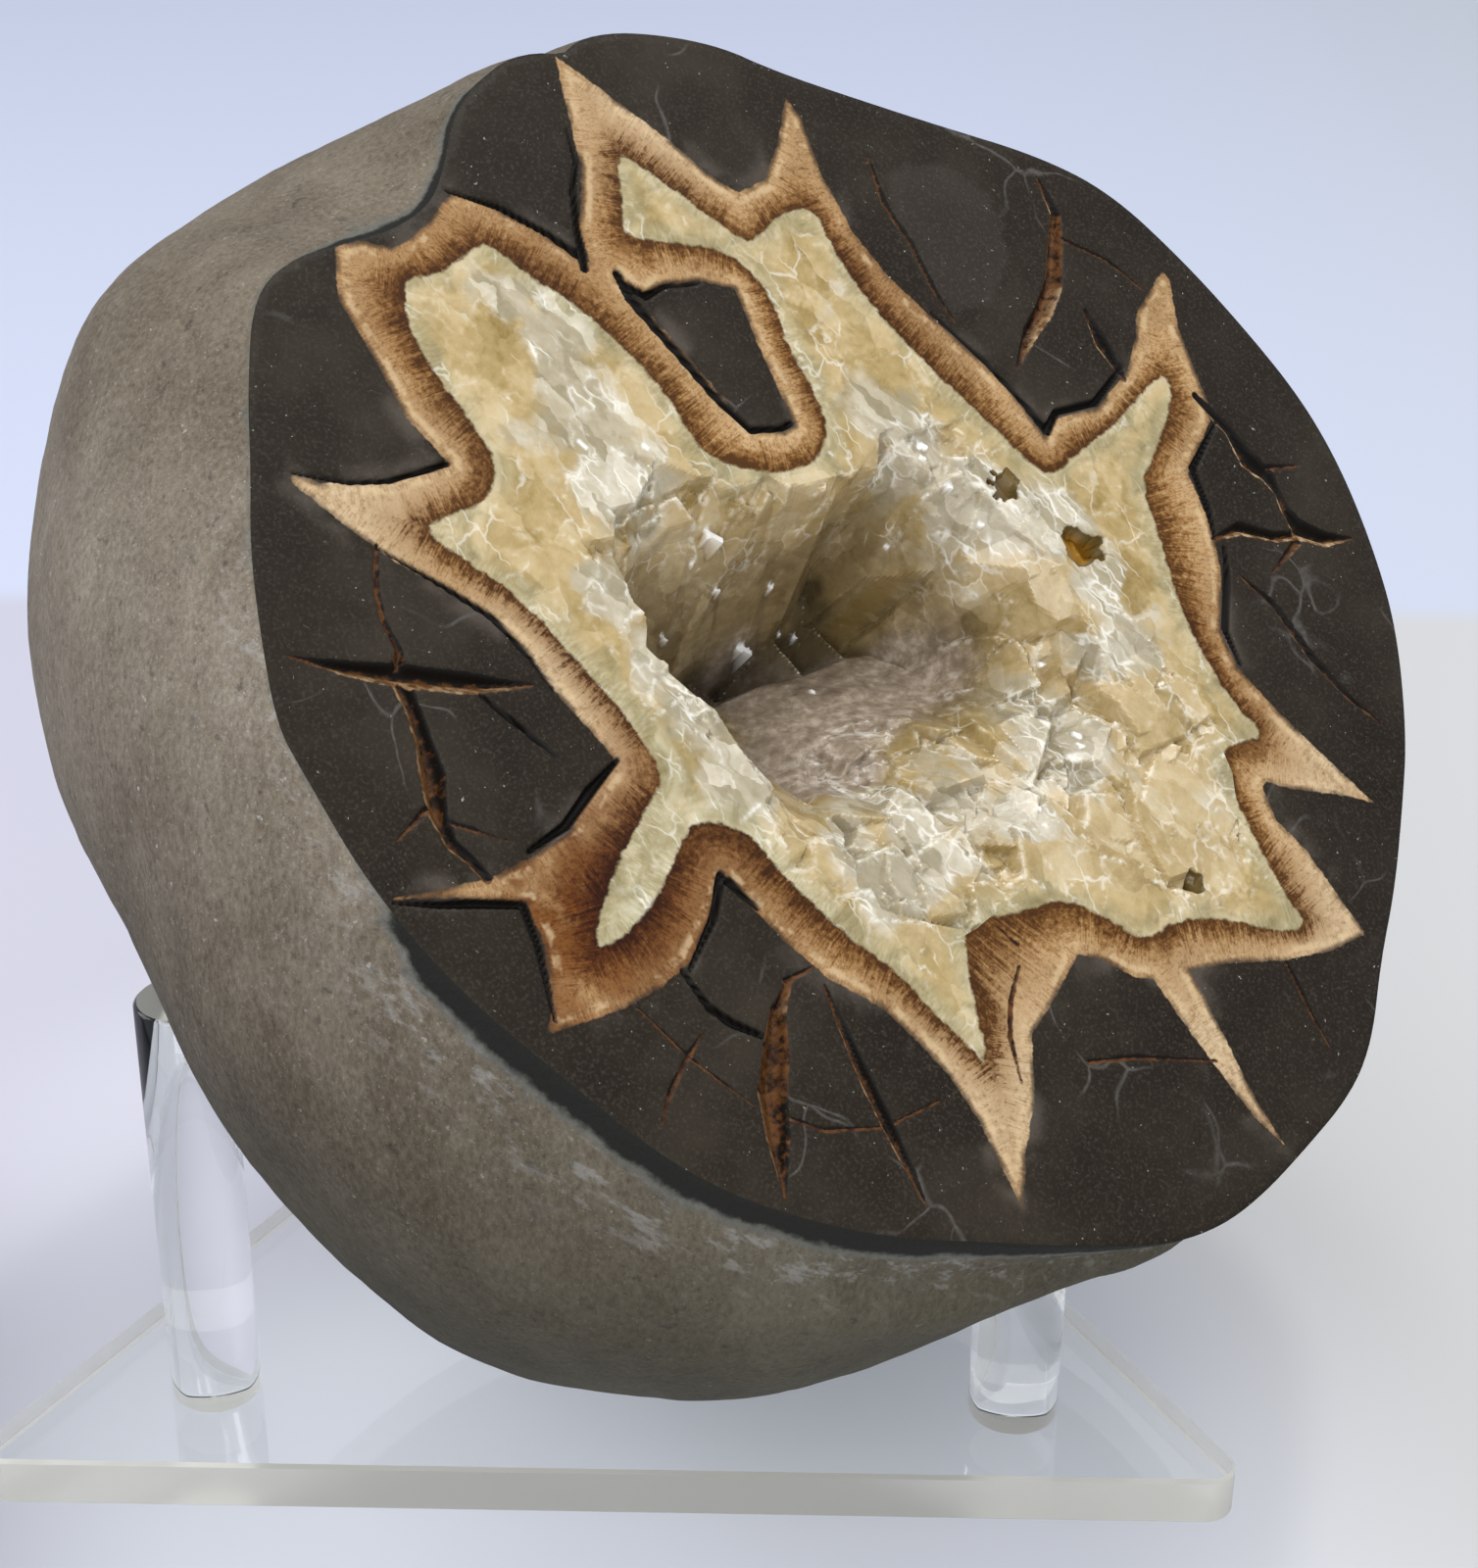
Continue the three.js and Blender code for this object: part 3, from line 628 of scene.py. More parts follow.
def flakes(xy):
    """Relief of the crystals over their bed, each one's tone, and how near its edge a point is,
    more on the sides that face LIGHT_SIDE as a painted highlight.
    """
    relief = np.full(len(xy), 1.4)
    tone = np.full(len(xy), 0.5)
    edge = np.zeros(len(xy))
    for middle, sides, reach, tilt, stand, flake_tone, span in FLAKES:
        near = np.flatnonzero((np.abs(xy - middle) < span).all(1))
        if not len(near):
            continue
        d = xy[near] - middle
        past = d @ sides.T - reach
        side, past = past.argmax(1), past.max(1)
        block = d @ tilt - stand + np.maximum(past, 0) * FLAKE_STEEP
        wins = block < relief[near]
        hit, past = near[wins], past[wins]
        relief[hit] = block[wins]
        tone[hit] = flake_tone
        # Painted highlight: edges are marked brighter on the sides that face LIGHT_SIDE.
        lit = 0.55 + 0.45 * (sides[side[wins]] @ LIGHT_SIDE)
        edge[hit] = smoothstep(past, -0.55, -0.1) * lit * (past < 0.2)
    return relief, tone, edge


def wall_limit(xy):
    """The depth at which the hollow's wall lies under each point."""
    depths = [level[0] for level in HOLLOW_LEVELS]
    margins = [within(xy, (x, y) + (np.array(MOUTH) - MOUTH_CENTRE) * scale) - CRUST_GAP
               for _, scale, x, y in HOLLOW_LEVELS]
    limit = np.full(len(xy), depths[-1])
    for k in range(len(depths) - 2, -1, -1):
        high, low = margins[k], margins[k + 1]
        t = np.clip(high / np.where(high - low == 0, 1, high - low), 0, 1)
        here = (low < 0) & (high > 0)
        limit[here] = (depths[k] + t * (depths[k + 1] - depths[k]))[here]
    limit[margins[0] <= 0] = depths[0]
    return limit


def calcite_surface(xy, outside_mouth):
    """Depth, tone, edge, pit and glint of the calcite, flush where it is polished."""
    relief, tone, edge = flakes(xy)
    to_mouth = within(xy, MOUTH)
    polish = 1 - smoothstep(outside_mouth, 0.0, 5.0)
    broken = np.maximum(polish, smoothstep(within(xy, PATCH), -1.0, 1.5))
    base = hollow_depth(xy) - MOUTH_DEPTH
    base = MOUTH_DEPTH * polish + base * np.clip(to_mouth / 1.2, 0, 1)
    weight = broken * (1 - 0.85 * smoothstep(base, 11, 19))
    weight *= 1 - 0.9 * smoothstep(within(xy, SMOOTH_WALL), -0.8, 0.8)
    depth = base + weight * (relief + 0.9 - 0.5 * smoothstep(base, 1.5, 4))
    pit, glint = np.zeros((2, len(xy)))
    for x, y, radius, deep, amber in PITS:
        ragged = radius * (0.5 + smooth_noise(xy[:, 0] + 70, xy[:, 1] + 70, 8, 1.1))
        share = smoothstep(ragged - np.linalg.norm(xy - (x, y), axis=1), -0.25, 0.45)
        pit = np.maximum(pit, share * amber)
        depth = depth + deep * share
    for x, y, radius in GLINTS:
        d = xy - (x, y)
        ragged = 0.7 + 1.1 * smooth_noise(xy[:, 0] + 90, xy[:, 1] + 90, 9, 0.6)
        near = np.abs(d[:, 0] * 1.3 + d[:, 1] * 0.5) + np.abs(d[:, 1] * 0.8) < radius * ragged
        near &= np.abs(to_mouth) > 0.3
        if near.any():
            depth[near] = depth[near].min() + (d[near] + radius) @ GLINT_SLOPE
            glint[near] = 1
    return np.clip(depth, 0, None), tone, edge * (0.35 + 0.65 * broken), pit, glint


# ---------- materials

POLISHED_STONE = 0.5
POLISHED_CALCITE = 0.3
FACE_GLOW = (0.0045, 0.0038, 0.0022)


class Nodes:
    """Short calls to build a material's node tree."""

    def __init__(self, name):
        self.material = bpy.data.materials.new(name)
        self.material.use_nodes = True
        self.tree = self.material.node_tree
        self.tree.nodes.clear()
        self.where = self.add("TexCoord", "Object")

    def add(self, kind, output, sockets=None, **settings):
        """An output of a new node, its sockets linked or set by name or number.

        A value is a number, a colour, another node's output or an attribute's name.
        """
        node = self.tree.nodes.new("ShaderNode" + kind)
        for key, value in settings.items():
            setattr(node, key, value)
        for key, value in (sockets or {}).items():
            if isinstance(value, str):
                value = self.add("Attribute", "Fac", attribute_name=value)
            if isinstance(value, bpy.types.NodeSocket):
                self.tree.links.new(value, node.inputs[key])
            else:
                node.inputs[key].default_value = value
        return node.outputs[output] if node.outputs else None

    def math(self, operation, a, b):
        return self.add("Math", 0, {0: a, 1: b}, operation=operation)

    def plus(self, *values):
        return reduce(lambda a, b: self.math("ADD", a, b), values)

    def most(self, *values):
        return reduce(lambda a, b: self.math("MAXIMUM", a, b), values)

    def times(self, *values):
        return reduce(lambda a, b: self.math("MULTIPLY", a, b), values)

    def weigh(self, *parts):
        """The sum of values, each times its weight."""
        return self.plus(*(self.times(value, weight) for value, weight in parts))

    def swing(self, value, reach):
        """A value round 0.5 as one round 0, times its reach."""
        return self.times(self.math("SUBTRACT", value, 0.5), reach)

    def step(self, value, low, high):
        """0 below low, 1 above high, smooth between."""
        return self.add("MapRange", "Result", {"Value": value, "From Min": low, "From Max": high},
                        interpolation_type="SMOOTHSTEP")

    def noise(self, scale, detail=4, rough=0.55, distortion=0, at=None, output="Fac"):
        return self.add("TexNoise", output, {
            "Vector": at or self.where, "Scale": scale, "Detail": detail, "Roughness": rough,
            "Distortion": distortion})

    def cells(self, at):
        """A value for each Voronoi cell, the same all over it."""
        colour = self.add("TexVoronoi", "Color", {"Vector": at, "Scale": 1})
        return self.add("SeparateColor", 0, {0: colour})

    def seams(self, at, scale, width):
        """1 along the edges of Voronoi cells, 0 from the given width on."""
        edge = self.add("TexVoronoi", "Distance", {"Vector": at, "Scale": scale},
                        feature="DISTANCE_TO_EDGE")
        return self.step(edge, width, 0)

    def stretch(self, scale, rotation):
        """Positions turned, each axis times its scale."""
        return self.add("Mapping", 0, {"Vector": self.where, "Scale": scale, "Rotation": rotation})

    def along_face(self, at, heading, scale):
        """Positions along and across a heading on the face, in degrees, each times its scale."""
        turn = math.radians(heading)
        ahead = math.cos(turn) * FACE_RIGHT + math.sin(turn) * FACE_UP
        axes = Matrix([ahead, np.cross(FACE_OUT, ahead), FACE_OUT]).transposed()
        return self.add("Mapping", 0, {"Vector": at, "Scale": tuple(1 / s for s in scale),
                                       "Rotation": axes.to_euler()}, vector_type="TEXTURE")

    def fibres(self, along, across, detail, rough):
        """Noise over two values, each times its weight."""
        plane = self.add("CombineXYZ", 0, {0: self.times(*along), 1: self.times(*across)})
        return self.noise(1, detail, rough, at=plane)

    def warp(self, scale, reach):
        """Positions pushed about by a noise, so that cells have bent edges."""
        push = self.noise(scale, 2, 0.5, output="Color")
        return self.add("VectorMath", 0, {0: push, 1: (reach, reach, reach), 2: self.where},
                        operation="MULTIPLY_ADD")

    def ramp(self, value, stops):
        """A colour for a value, from a text of places, each with its red, green and blue."""
        colour = self.add("ValToRGB", "Color", {"Fac": value})
        elements = colour.node.color_ramp.elements
        stops = points(stops)
        while len(elements) < len(stops):
            elements.new(0.5)
        for element, (place, *rgb) in zip(elements, stops):
            element.position = place
            element.color = (*rgb, 1)
        return colour

    def mix(self, factor, a, b, blend="MIX"):
        """From colour a to colour b; a factor in parts is their product."""
        factor = self.times(*factor) if isinstance(factor, tuple) else factor
        a, b = ((*colour, 1) if isinstance(colour, tuple) else colour for colour in (a, b))
        return self.add("Mix", 2, {"Factor": factor, 6: a, 7: b}, data_type="RGBA",
                        blend_type=blend)

    def specks(self, colour, new, share, low, high, *noise):
        """A colour with a share of another where a noise passes from low to high."""
        return self.mix((self.step(self.noise(*noise), low, high), share), colour, new)

    def tint(self, factor, colour, by):
        """A colour, more and more times another as the factor grows."""
        return self.mix(factor, colour, self.mix(1, colour, by, "MULTIPLY"))

    def mix_value(self, factor, a, b):
        return self.add("Mix", 0, {"Factor": factor, 2: a, 3: b})

    def bump(self, height, strength, distance):
        return self.add("Bump", 0, {"Height": height, "Strength": strength, "Distance": distance})

    def finish(self, **inputs):
        inputs = {key.replace("_", " "): value for key, value in inputs.items()}
        self.add("OutputMaterial", 0, {"Surface": self.add("BsdfPrincipled", "BSDF", inputs)})
        return self.material


def calcite_colour(n):
    """Colour of the calcite: fibrous by the band, then honey or milky, and in the hollow smoky and
    darker with depth, partly as painted shade.
    """
    warped = n.warp(420, 0.0022)
    drawn = n.along_face(warped, -74, (150, 330, 260))
    patch = n.noise(190, 4, 0.6, 0.6)
    fine = n.noise(700, 3, 0.65)
    cell = n.cells(drawn)
    value = n.weigh((patch, 0.4), ("tone", 0.18), (cell, 0.16), (fine, 0.26))
    honey = n.ramp(
        value, "0.3 0.244 0.165 0.053, 0.42 0.361 0.264 0.11, 0.55 0.47 0.355 0.182, "
        "0.7 0.562 0.463 0.287")
    streaks = n.along_face(warped, -64, (150, 520, 300))
    leaf = n.weigh((n.cells(streaks), 0.5), (n.noise(1, 3, 0.6, at=streaks), 0.5))
    milky = n.ramp(
        n.weigh((value, 0.5), (leaf, 0.5)), "0.28 0.24 0.2 0.119, 0.42 0.332 0.286 0.187, "
        "0.55 0.442 0.385 0.277, 0.72 0.645 0.594 0.477")
    cloud = n.swing(n.noise(95, 3, 0.6), 2.4)
    white = n.step(n.weigh(("milky", 1.1), (cloud, 1), (cell, 0.35)), 0.44, 0.92)
    colour = n.mix(white, honey, milky)
    needles = n.fibres(("along", 2.6), ("pale", 0.6), 4, 0.65)
    fibrous = n.ramp(
        n.weigh((needles, 0.4), (patch, 0.6)), "0.34 0.198 0.169 0.084, 0.48 0.338 0.299 0.175, "
        "0.64 0.593 0.552 0.401")
    strip = n.weigh(("pale", 1), (patch, 9), (cell, 1.5), ("rust", -4))
    colour = n.mix((n.step(strip, 9, 4.6), 0.8), colour, fibrous)
    smoky_and_shaded = n.ramp(
        value, "0.3 0.108 0.074 0.031, 0.44 0.179 0.128 0.058, 0.58 0.263 0.198 0.1, "
        "0.74 0.443 0.357 0.212")
    # Partly painted shade: the calcite turns darker and smokier from 4 to 15 mm deep in the
    # hollow.
    colour = n.mix((n.step("depth", 4, 15), 0.92), colour, smoky_and_shaded)
    violet = n.ramp(
        n.weigh((fine, 0.6), (patch, 0.4)), "0.36 0.174 0.134 0.1, 0.5 0.275 0.218 0.161, "
        "0.64 0.449 0.381 0.312")
    colour = n.mix(n.step(n.times("violet", n.step("depth", 6, 11)), 0.25, 0.6),
                   colour, violet)
    amber = n.step(n.times("amber", n.step("depth", 6, 12)), 0.2, 0.9)
    colour = n.mix((amber, 0.6), colour, (0.24, 0.16, 0.045))
    shaded = n.step(n.times("shaded", n.step("depth", 20, 28)), 0.25, 0.75)
    colour = n.mix((shaded, 0.7), colour, (0.055, 0.04, 0.02))
    rare = n.step(n.noise(150, 2), 0.48, 0.62)
    wisp = n.times(n.seams(streaks, 1, 0.1), rare, n.step(white, 0.2, 0.8), 0.6)
    seam = n.times(n.seams(drawn, 1, 0.05), rare, 0.35)
    # Pale broken edges, partly a painted highlight on their lit sides, with white seams and wisps.
    bright = n.times("edge", n.step(fine, 0.44, 0.62), 0.55)
    bright = n.times(n.most(bright, seam, wisp), n.step("depth", 22, 8))
    colour = n.mix(bright, colour, (0.93, 0.92, 0.86))
    # Painted highlight: the glint facets are coloured near white.
    colour = n.mix(("glint", 0.8), colour, (0.98, 0.98, 0.97))
    lining = n.ramp("pit", "0.2 0.1 0.065 0.02, 0.5 0.15 0.1 0.03, 1 0.24 0.115 0.012")
    return n.mix(n.step("pit", 0.05, 0.2), colour, lining)


def stone_colour(n, ragged):
    """Colour of the mudstone and of the brown band round the star."""
    star = n.plus("star", n.times(ragged, 0.6))
    mud = n.ramp(
        n.noise(45, 4, 0.62), "0.3 0.01 0.0066 0.0035, 0.5 0.0165 0.0118 0.007, "
        "0.7 0.03 0.0235 0.0155")
    mud = n.mix(n.step(n.noise(2400, 2), 0.45, 0.8), mud, (0.04, 0.032, 0.023))
    mud = n.specks(mud, (0.42, 0.42, 0.36), 0.6, 0.7, 0.77, 1300, 2, 0.75)
    web = (n.seams(n.warp(60, 0.02), 55, 0.02), n.step(n.noise(48, 3), 0.56, 0.66),
           n.noise(900, 2), 0.3)
    mud = n.mix(web, mud, (0.32, 0.31, 0.3))
    ghost = n.step(n.weigh(("ghost", 1), (n.noise(300, 3), 2)), 0.2, 1.8)
    mud = n.mix((ghost, 0.11), mud, (0.12, 0.105, 0.09))
    halo = (n.step(star, -3, -0.1), n.step(n.noise(90, 3), 0.5, 0.66), 0.25)
    mud = n.mix(halo, mud, (0.2, 0.165, 0.14))

    needles = n.fibres(("along", 3.6), ("across", 2), 5, 0.7)
    tufts = n.fibres(("along", 0.9), ("across", 0.8), 3, 0.6)
    speck = n.noise(1500, 3, 0.7)
    shade = n.plus("across", n.swing(needles, 1.7), n.swing(tufts, 0.7), n.swing(speck, 1.1))
    band = n.ramp(
        shade, "0 0.37 0.225 0.105, 0.24 0.5 0.33 0.17, 0.46 0.37 0.215 0.09, "
        "0.66 0.235 0.115 0.034, 0.84 0.135 0.056 0.011, 1 0.07 0.026 0.004")
    rust = n.times("rust", n.step(n.noise(130, 3, 0.6), 0.2, 0.55))
    band = n.tint(rust, band, (0.36, 0.19, 0.055))
    dots = n.weigh((n.noise(2300, 2, 0.8), 0.6), (needles, 0.4))
    dots = n.ramp(dots, "0.34 0.42 0.36 0.28, 0.47 0.9 0.88 0.84, 0.62 1 1 1, 0.7 1 1 1")
    band = n.mix(0.9, band, dots, "MULTIPLY")
    broad = n.ramp(n.noise(75, 3, 0.6), "0.34 0.62 0.56 0.48, 0.6 1 1 1")
    band = n.mix(0.65, band, broad, "MULTIPLY")
    light = n.ramp(
        n.weigh((needles, 0.5), (speck, 0.5)), "0.34 0.22 0.135 0.06, 0.48 0.42 0.295 0.165, "
        "0.64 0.62 0.49 0.33")
    band = n.mix(("tan", n.step(shade, 1, 0.2)), band, light)
    band = n.tint("dim", band, (0.72, 0.64, 0.55))
    fringe = (n.step(star, 0.45, 0.9), n.step(star, 1.9, 1.2),
              n.step(n.noise(240, 3, 0.7), 0.47, 0.6), 0.5)
    band = n.mix(fringe, band, (0.6, 0.45, 0.26))
    # Painted shade: a thin dark line along the band's outer edge in places, as of a shaded crack.
    crack_shade_line = (n.step(star, 0.8, 0.1), n.step(n.noise(160, 3), 0.4, 0.56), 0.8)
    band = n.mix(crack_shade_line, band, (0.035, 0.02, 0.012))
    return n.mix(n.step(star, -0.12, 0.12), mud, band)


def add_veins(n, ragged, colour):
    """The colour with the veins and the open gaps in it. Painted shade makes each vein's wall
    towards SHADOW_SIDE near black, and the gaps near black; the pale core is set on the lit wall,
    partly painted light.
    """
    side = n.plus("side", n.times(ragged, 0.9))
    vein = n.plus("vein", n.times(ragged, 0.5))
    rusty = n.ramp(n.noise(600, 3), "0.35 0.024 0.008 0.003, 0.6 0.1 0.038 0.01")
    tan = n.ramp(n.noise(800, 3), "0.4 0.13 0.058 0.017, 0.62 0.46 0.32 0.18")
    # Partly painted light: the pale core is set on the lit wall, away from SHADOW_SIDE.
    lining = n.mix((n.step(side, 0.05, -0.3), "core"), rusty, tan)
    # Painted shade: the wall towards SHADOW_SIDE is near black.
    lining = n.mix(n.step(side, -0.02, 0.25), lining, (0.004, 0.003, 0.002))
    colour = n.mix(n.step(vein, -0.14, 0.08), colour, lining)
    # Painted shade: the open gaps are near black.
    return n.mix(n.step("gap", -0.15, 0.12), colour, (0.005, 0.004, 0.003))


def glow(n, share, radius, scale):
    """Light that spreads in the calcite, but not at the seam round the hollow's mouth."""
    return {"Subsurface_Weight": n.times(share, n.step("seam", 0.3, 2.5)),
            "Subsurface_Radius": radius, "Subsurface_Scale": scale}


def face_material(name, stone, calcite):
    """The polished face where it is mudstone and band, pale calcite, or the line between them."""
    n = Nodes(name)
    polish = {"Normal": n.bump(n.noise(2200, 2, 0.6), 0.1, 0.0002),
              "Specular_IOR_Level": 0.13}
    if not stone:
        return n.finish(Base_Color=calcite_colour(n), Roughness=POLISHED_CALCITE,
                        **glow(n, 0.5, FACE_GLOW, 0.3), **polish)
    ragged = n.swing(n.noise(800, 4, 0.65), 1.3)
    colour = stone_colour(n, ragged)
    if not calcite:
        return n.finish(Base_Color=add_veins(n, ragged, colour),
                        Roughness=POLISHED_STONE, **polish)
    pale = n.plus("pale", ragged)
    colour = n.mix(n.step(pale, -0.2, 0.3), colour, calcite_colour(n))
    soft = n.times(n.step(pale, -0.2, 0.6), 0.5)
    return n.finish(Base_Color=colour, Roughness=n.mix_value(soft, POLISHED_STONE, 0.1),
                    **glow(n, soft, FACE_GLOW, 0.3), **polish)


def rind_material():
    """The weathered skin of the stone."""
    n = Nodes("rind")
    broad = n.noise(13, 4, 0.55, 0.5)
    streak = n.noise(1, 4, 0.62, 0.5, at=n.stretch((85, 85, 45), (0.25, 0.45, 0.5)))
    brush = n.noise(1, 3, 0.7, at=n.stretch((1500, 1500, 800), (0.25, 0.45, 0.5)))
    value = n.weigh((broad, 0.36), (streak, 0.28), (brush, 0.36))
    colour = n.ramp(
        value, "0.34 0.068 0.053 0.035, 0.45 0.145 0.116 0.083, 0.54 0.215 0.179 0.136, "
        "0.66 0.31 0.268 0.214")
    colour = n.specks(colour, (0.52, 0.51, 0.47), 0.6, 0.66, 0.73, 560, 3, 0.75)
    colour = n.specks(colour, (0.42, 0.4, 0.36), 0.45, 0.62, 0.7, 1700, 2, 0.8)
    colour = n.specks(colour, (0.05, 0.043, 0.035), 0.5, 0.6, 0.7, 420, 3, 0.75)
    # Painted shade: the rind is darker towards the bottom. It is also darker towards the top.
    colour = n.tint("low", colour, (0.24, 0.255, 0.2))
    colour = n.tint("high", colour, (0.62, 0.6, 0.56))
    frost = n.noise(1, 3, 0.75, at=n.along_face(n.where, -50, (160, 520, 400)))
    colour = n.mix(("frost", n.step(frost, 0.5, 0.66), 0.6), colour, (0.45, 0.455, 0.45))
    collar = n.plus("collar", n.swing(n.noise(190, 4, 0.7), 0.9))
    colour = n.mix((n.step(collar, 0.05, 0.4), 0.7), colour, (0.105, 0.11, 0.103))
    colour = n.mix(n.step(collar, 0.35, 0.65), colour, (0.013, 0.0135, 0.0115))
    colour = n.mix(n.step("crack", -0.3, 0.1), colour, (0.02, 0.016, 0.012))
    height = n.weigh((brush, 0.85), (n.noise(190, 3, 0.6), 0.9))
    return n.finish(
        Base_Color=colour, Roughness=n.mix_value(n.step(collar, 0.3, 0.7), 0.74, 0.85),
        Normal=n.bump(height, 0.7, 0.0008), Specular_IOR_Level=0.2)


def crust_material():
    """Broken calcite crystals: clear to milky, with bright cleavage faces, partly a painted
    highlight.
    """
    n = Nodes("broken_calcite")
    striae = n.noise(1, 2, 0.6, at=n.stretch((520, 60, 200), (0.6, 0.9, 0.3)))
    height = n.plus(n.times(striae, n.step("depth", 6, 14), 1.2),
                    n.times(n.noise(900, 2), 0.5))
    rough = n.mix_value(n.noise(260, 2), 0.14, 0.4)
    return n.finish(
        Base_Color=calcite_colour(n), Roughness=n.mix_value("glint", rough, 0.04),
        Normal=n.bump(height, 0.3, 0.0004), **glow(n, 0.5, (0.005, 0.0042, 0.0026), 0.35),
        IOR=1.55, Specular_IOR_Level=0.5)


def acrylic_material(name, tint, roughness=(0, 0.03), clear=1):
    """Clear acrylic sheet or rod; less clear and rougher where it is sawn."""
    n = Nodes(name)
    return n.finish(
        Base_Color=(*tint, 1), Transmission_Weight=clear, IOR=1.49,
        Roughness=n.mix_value(n.noise(60, 3, 0.5), *roughness))


# ---------- the nodule

EDGE_SLOT, RIND_SLOT, STONE_SLOT, CALCITE_SLOT = range(4)
FAR = 9.0  # a distance from any line for the points behind the face
STAR_LENGTH = 700  # where lengths along the island's outline begin
GAP_DEPTH = 1.3
BROKEN_DEPTH = 0.08
MOUTH_STEP = 0.5
CRUST_STEP = 0.36
ROW_HEIGHT = 0.866  # of a triangle grid, for a step of 1
FACE_BOX = (-80, -86), (81, 86)
HOLLOW_BOX = (-38, -48), (44, 33)
# Grids over the face: where each is, its step, and how far it keeps from the outlines.
FACE_GRIDS = [("mudstone", 1.25, 0.6), ("star", 0.52, 0.3), ("line", 0.38, 0.25)]
PALE_SMOOTH = rounded(PALE)

# A faint paler patch in the mudstone, and a crack in the rind: x, y, depth and half width.
GHOST = points("28 57, 36.5 57, 42 51, 41 42.5, 35 36.5, 29 36.5, 26.5 42.5, 26 50.5")
RIND_CRACK = np.array(points("-66 46 10 0.5, -67 40 12 0.35, -66 33 10 0.3"))


def vein_fields(xy):
    """How far inside a vein each point is, how pale its core is, and the side of it, -1 to 1,
    which puts painted shade on one wall and the pale core on the other.
    """
    inside_by = np.full(len(xy), -FAR)
    core, side = np.zeros((2, len(xy)))
    for paleness, path in VEINS:
        here, offset, width = to_path(xy, path)
        wins = here > inside_by
        core[wins] = (paleness * smoothstep(width, 0.25, 0.9))[wins]
        side[wins] = np.clip(offset, -1, 1)[wins]
        inside_by = np.maximum(inside_by, here)
    return inside_by, core, side


def calcite_fields(xy, pit):
    """What colours the calcite, on the face and in the hollow."""
    fields = {key: blobs(xy, spots) for key, spots in CALCITE_SPOTS.items()}
    fields["pale"], fields["along"] = signed_distance(xy, PALE_SMOOTH)
    fields["seam"] = np.abs(within(xy, MOUTH)) * (pit < 0.05)
    return fields


def face_fields(xy, pit):
    """What colours the face: distances to the star, its pale middle, veins and gaps, and spots."""
    fields = calcite_fields(xy, pit)
    star, along = signed_distance(xy, STAR)
    island, island_along = signed_distance(xy, ISLAND)
    nearer = -island < star
    star = np.where(nearer, -island, star)
    band = np.clip(star, 0, None)
    fields["vein"], fields["core"], fields["side"] = vein_fields(xy)
    fields.update(
        star=star, along=np.where(nearer, island_along + STAR_LENGTH, along),
        across=band / np.maximum(band - np.minimum(fields["pale"], 0), MIN_WIDTH),
        gap=in_paths(xy, GAPS), ghost=within(xy, GHOST),
        **{key: blobs(xy, spots) for key, spots in BAND_SPOTS.items()})
    return fields


def padded(fields, count):
    """The fields of the first points, for all the points of a mesh."""
    return {key: np.pad(value, (0, count - len(value)),
                        constant_values=FAR if key in ("star", "pale") else 0)
            for key, value in fields.items()}


def triangle_grid(step, low, high):
    """Points in rows of a triangle grid over a box."""
    gx, gy = np.meshgrid(np.arange(low[0], high[0], step),
                         np.arange(low[1], high[1], step * ROW_HEIGHT))
    gx = gx + (np.arange(len(gx)) % 2)[:, None] * step / 2
    return np.stack([gx.ravel(), gy.ravel()], 1)


def face_points(rim, mouth):
    """Points over the face: coarse in the mudstone, finer in the star, finest along veins."""
    lines = [path for _, path in VEINS] + GAPS
    grids = []
    for kind, step, margin in FACE_GRIDS:
        xy = triangle_grid(step, *FACE_BOX)
        in_star = within(xy, STAR) > -0.8
        place = np.where(in_paths(xy, lines) > -0.6, "line", np.where(in_star, "star", "mudstone"))
        xy = xy[place == kind]
        xy = xy[within(xy, rim) > margin]
        grids.append(xy[within(xy, mouth) < -margin])
    return np.concatenate(grids)


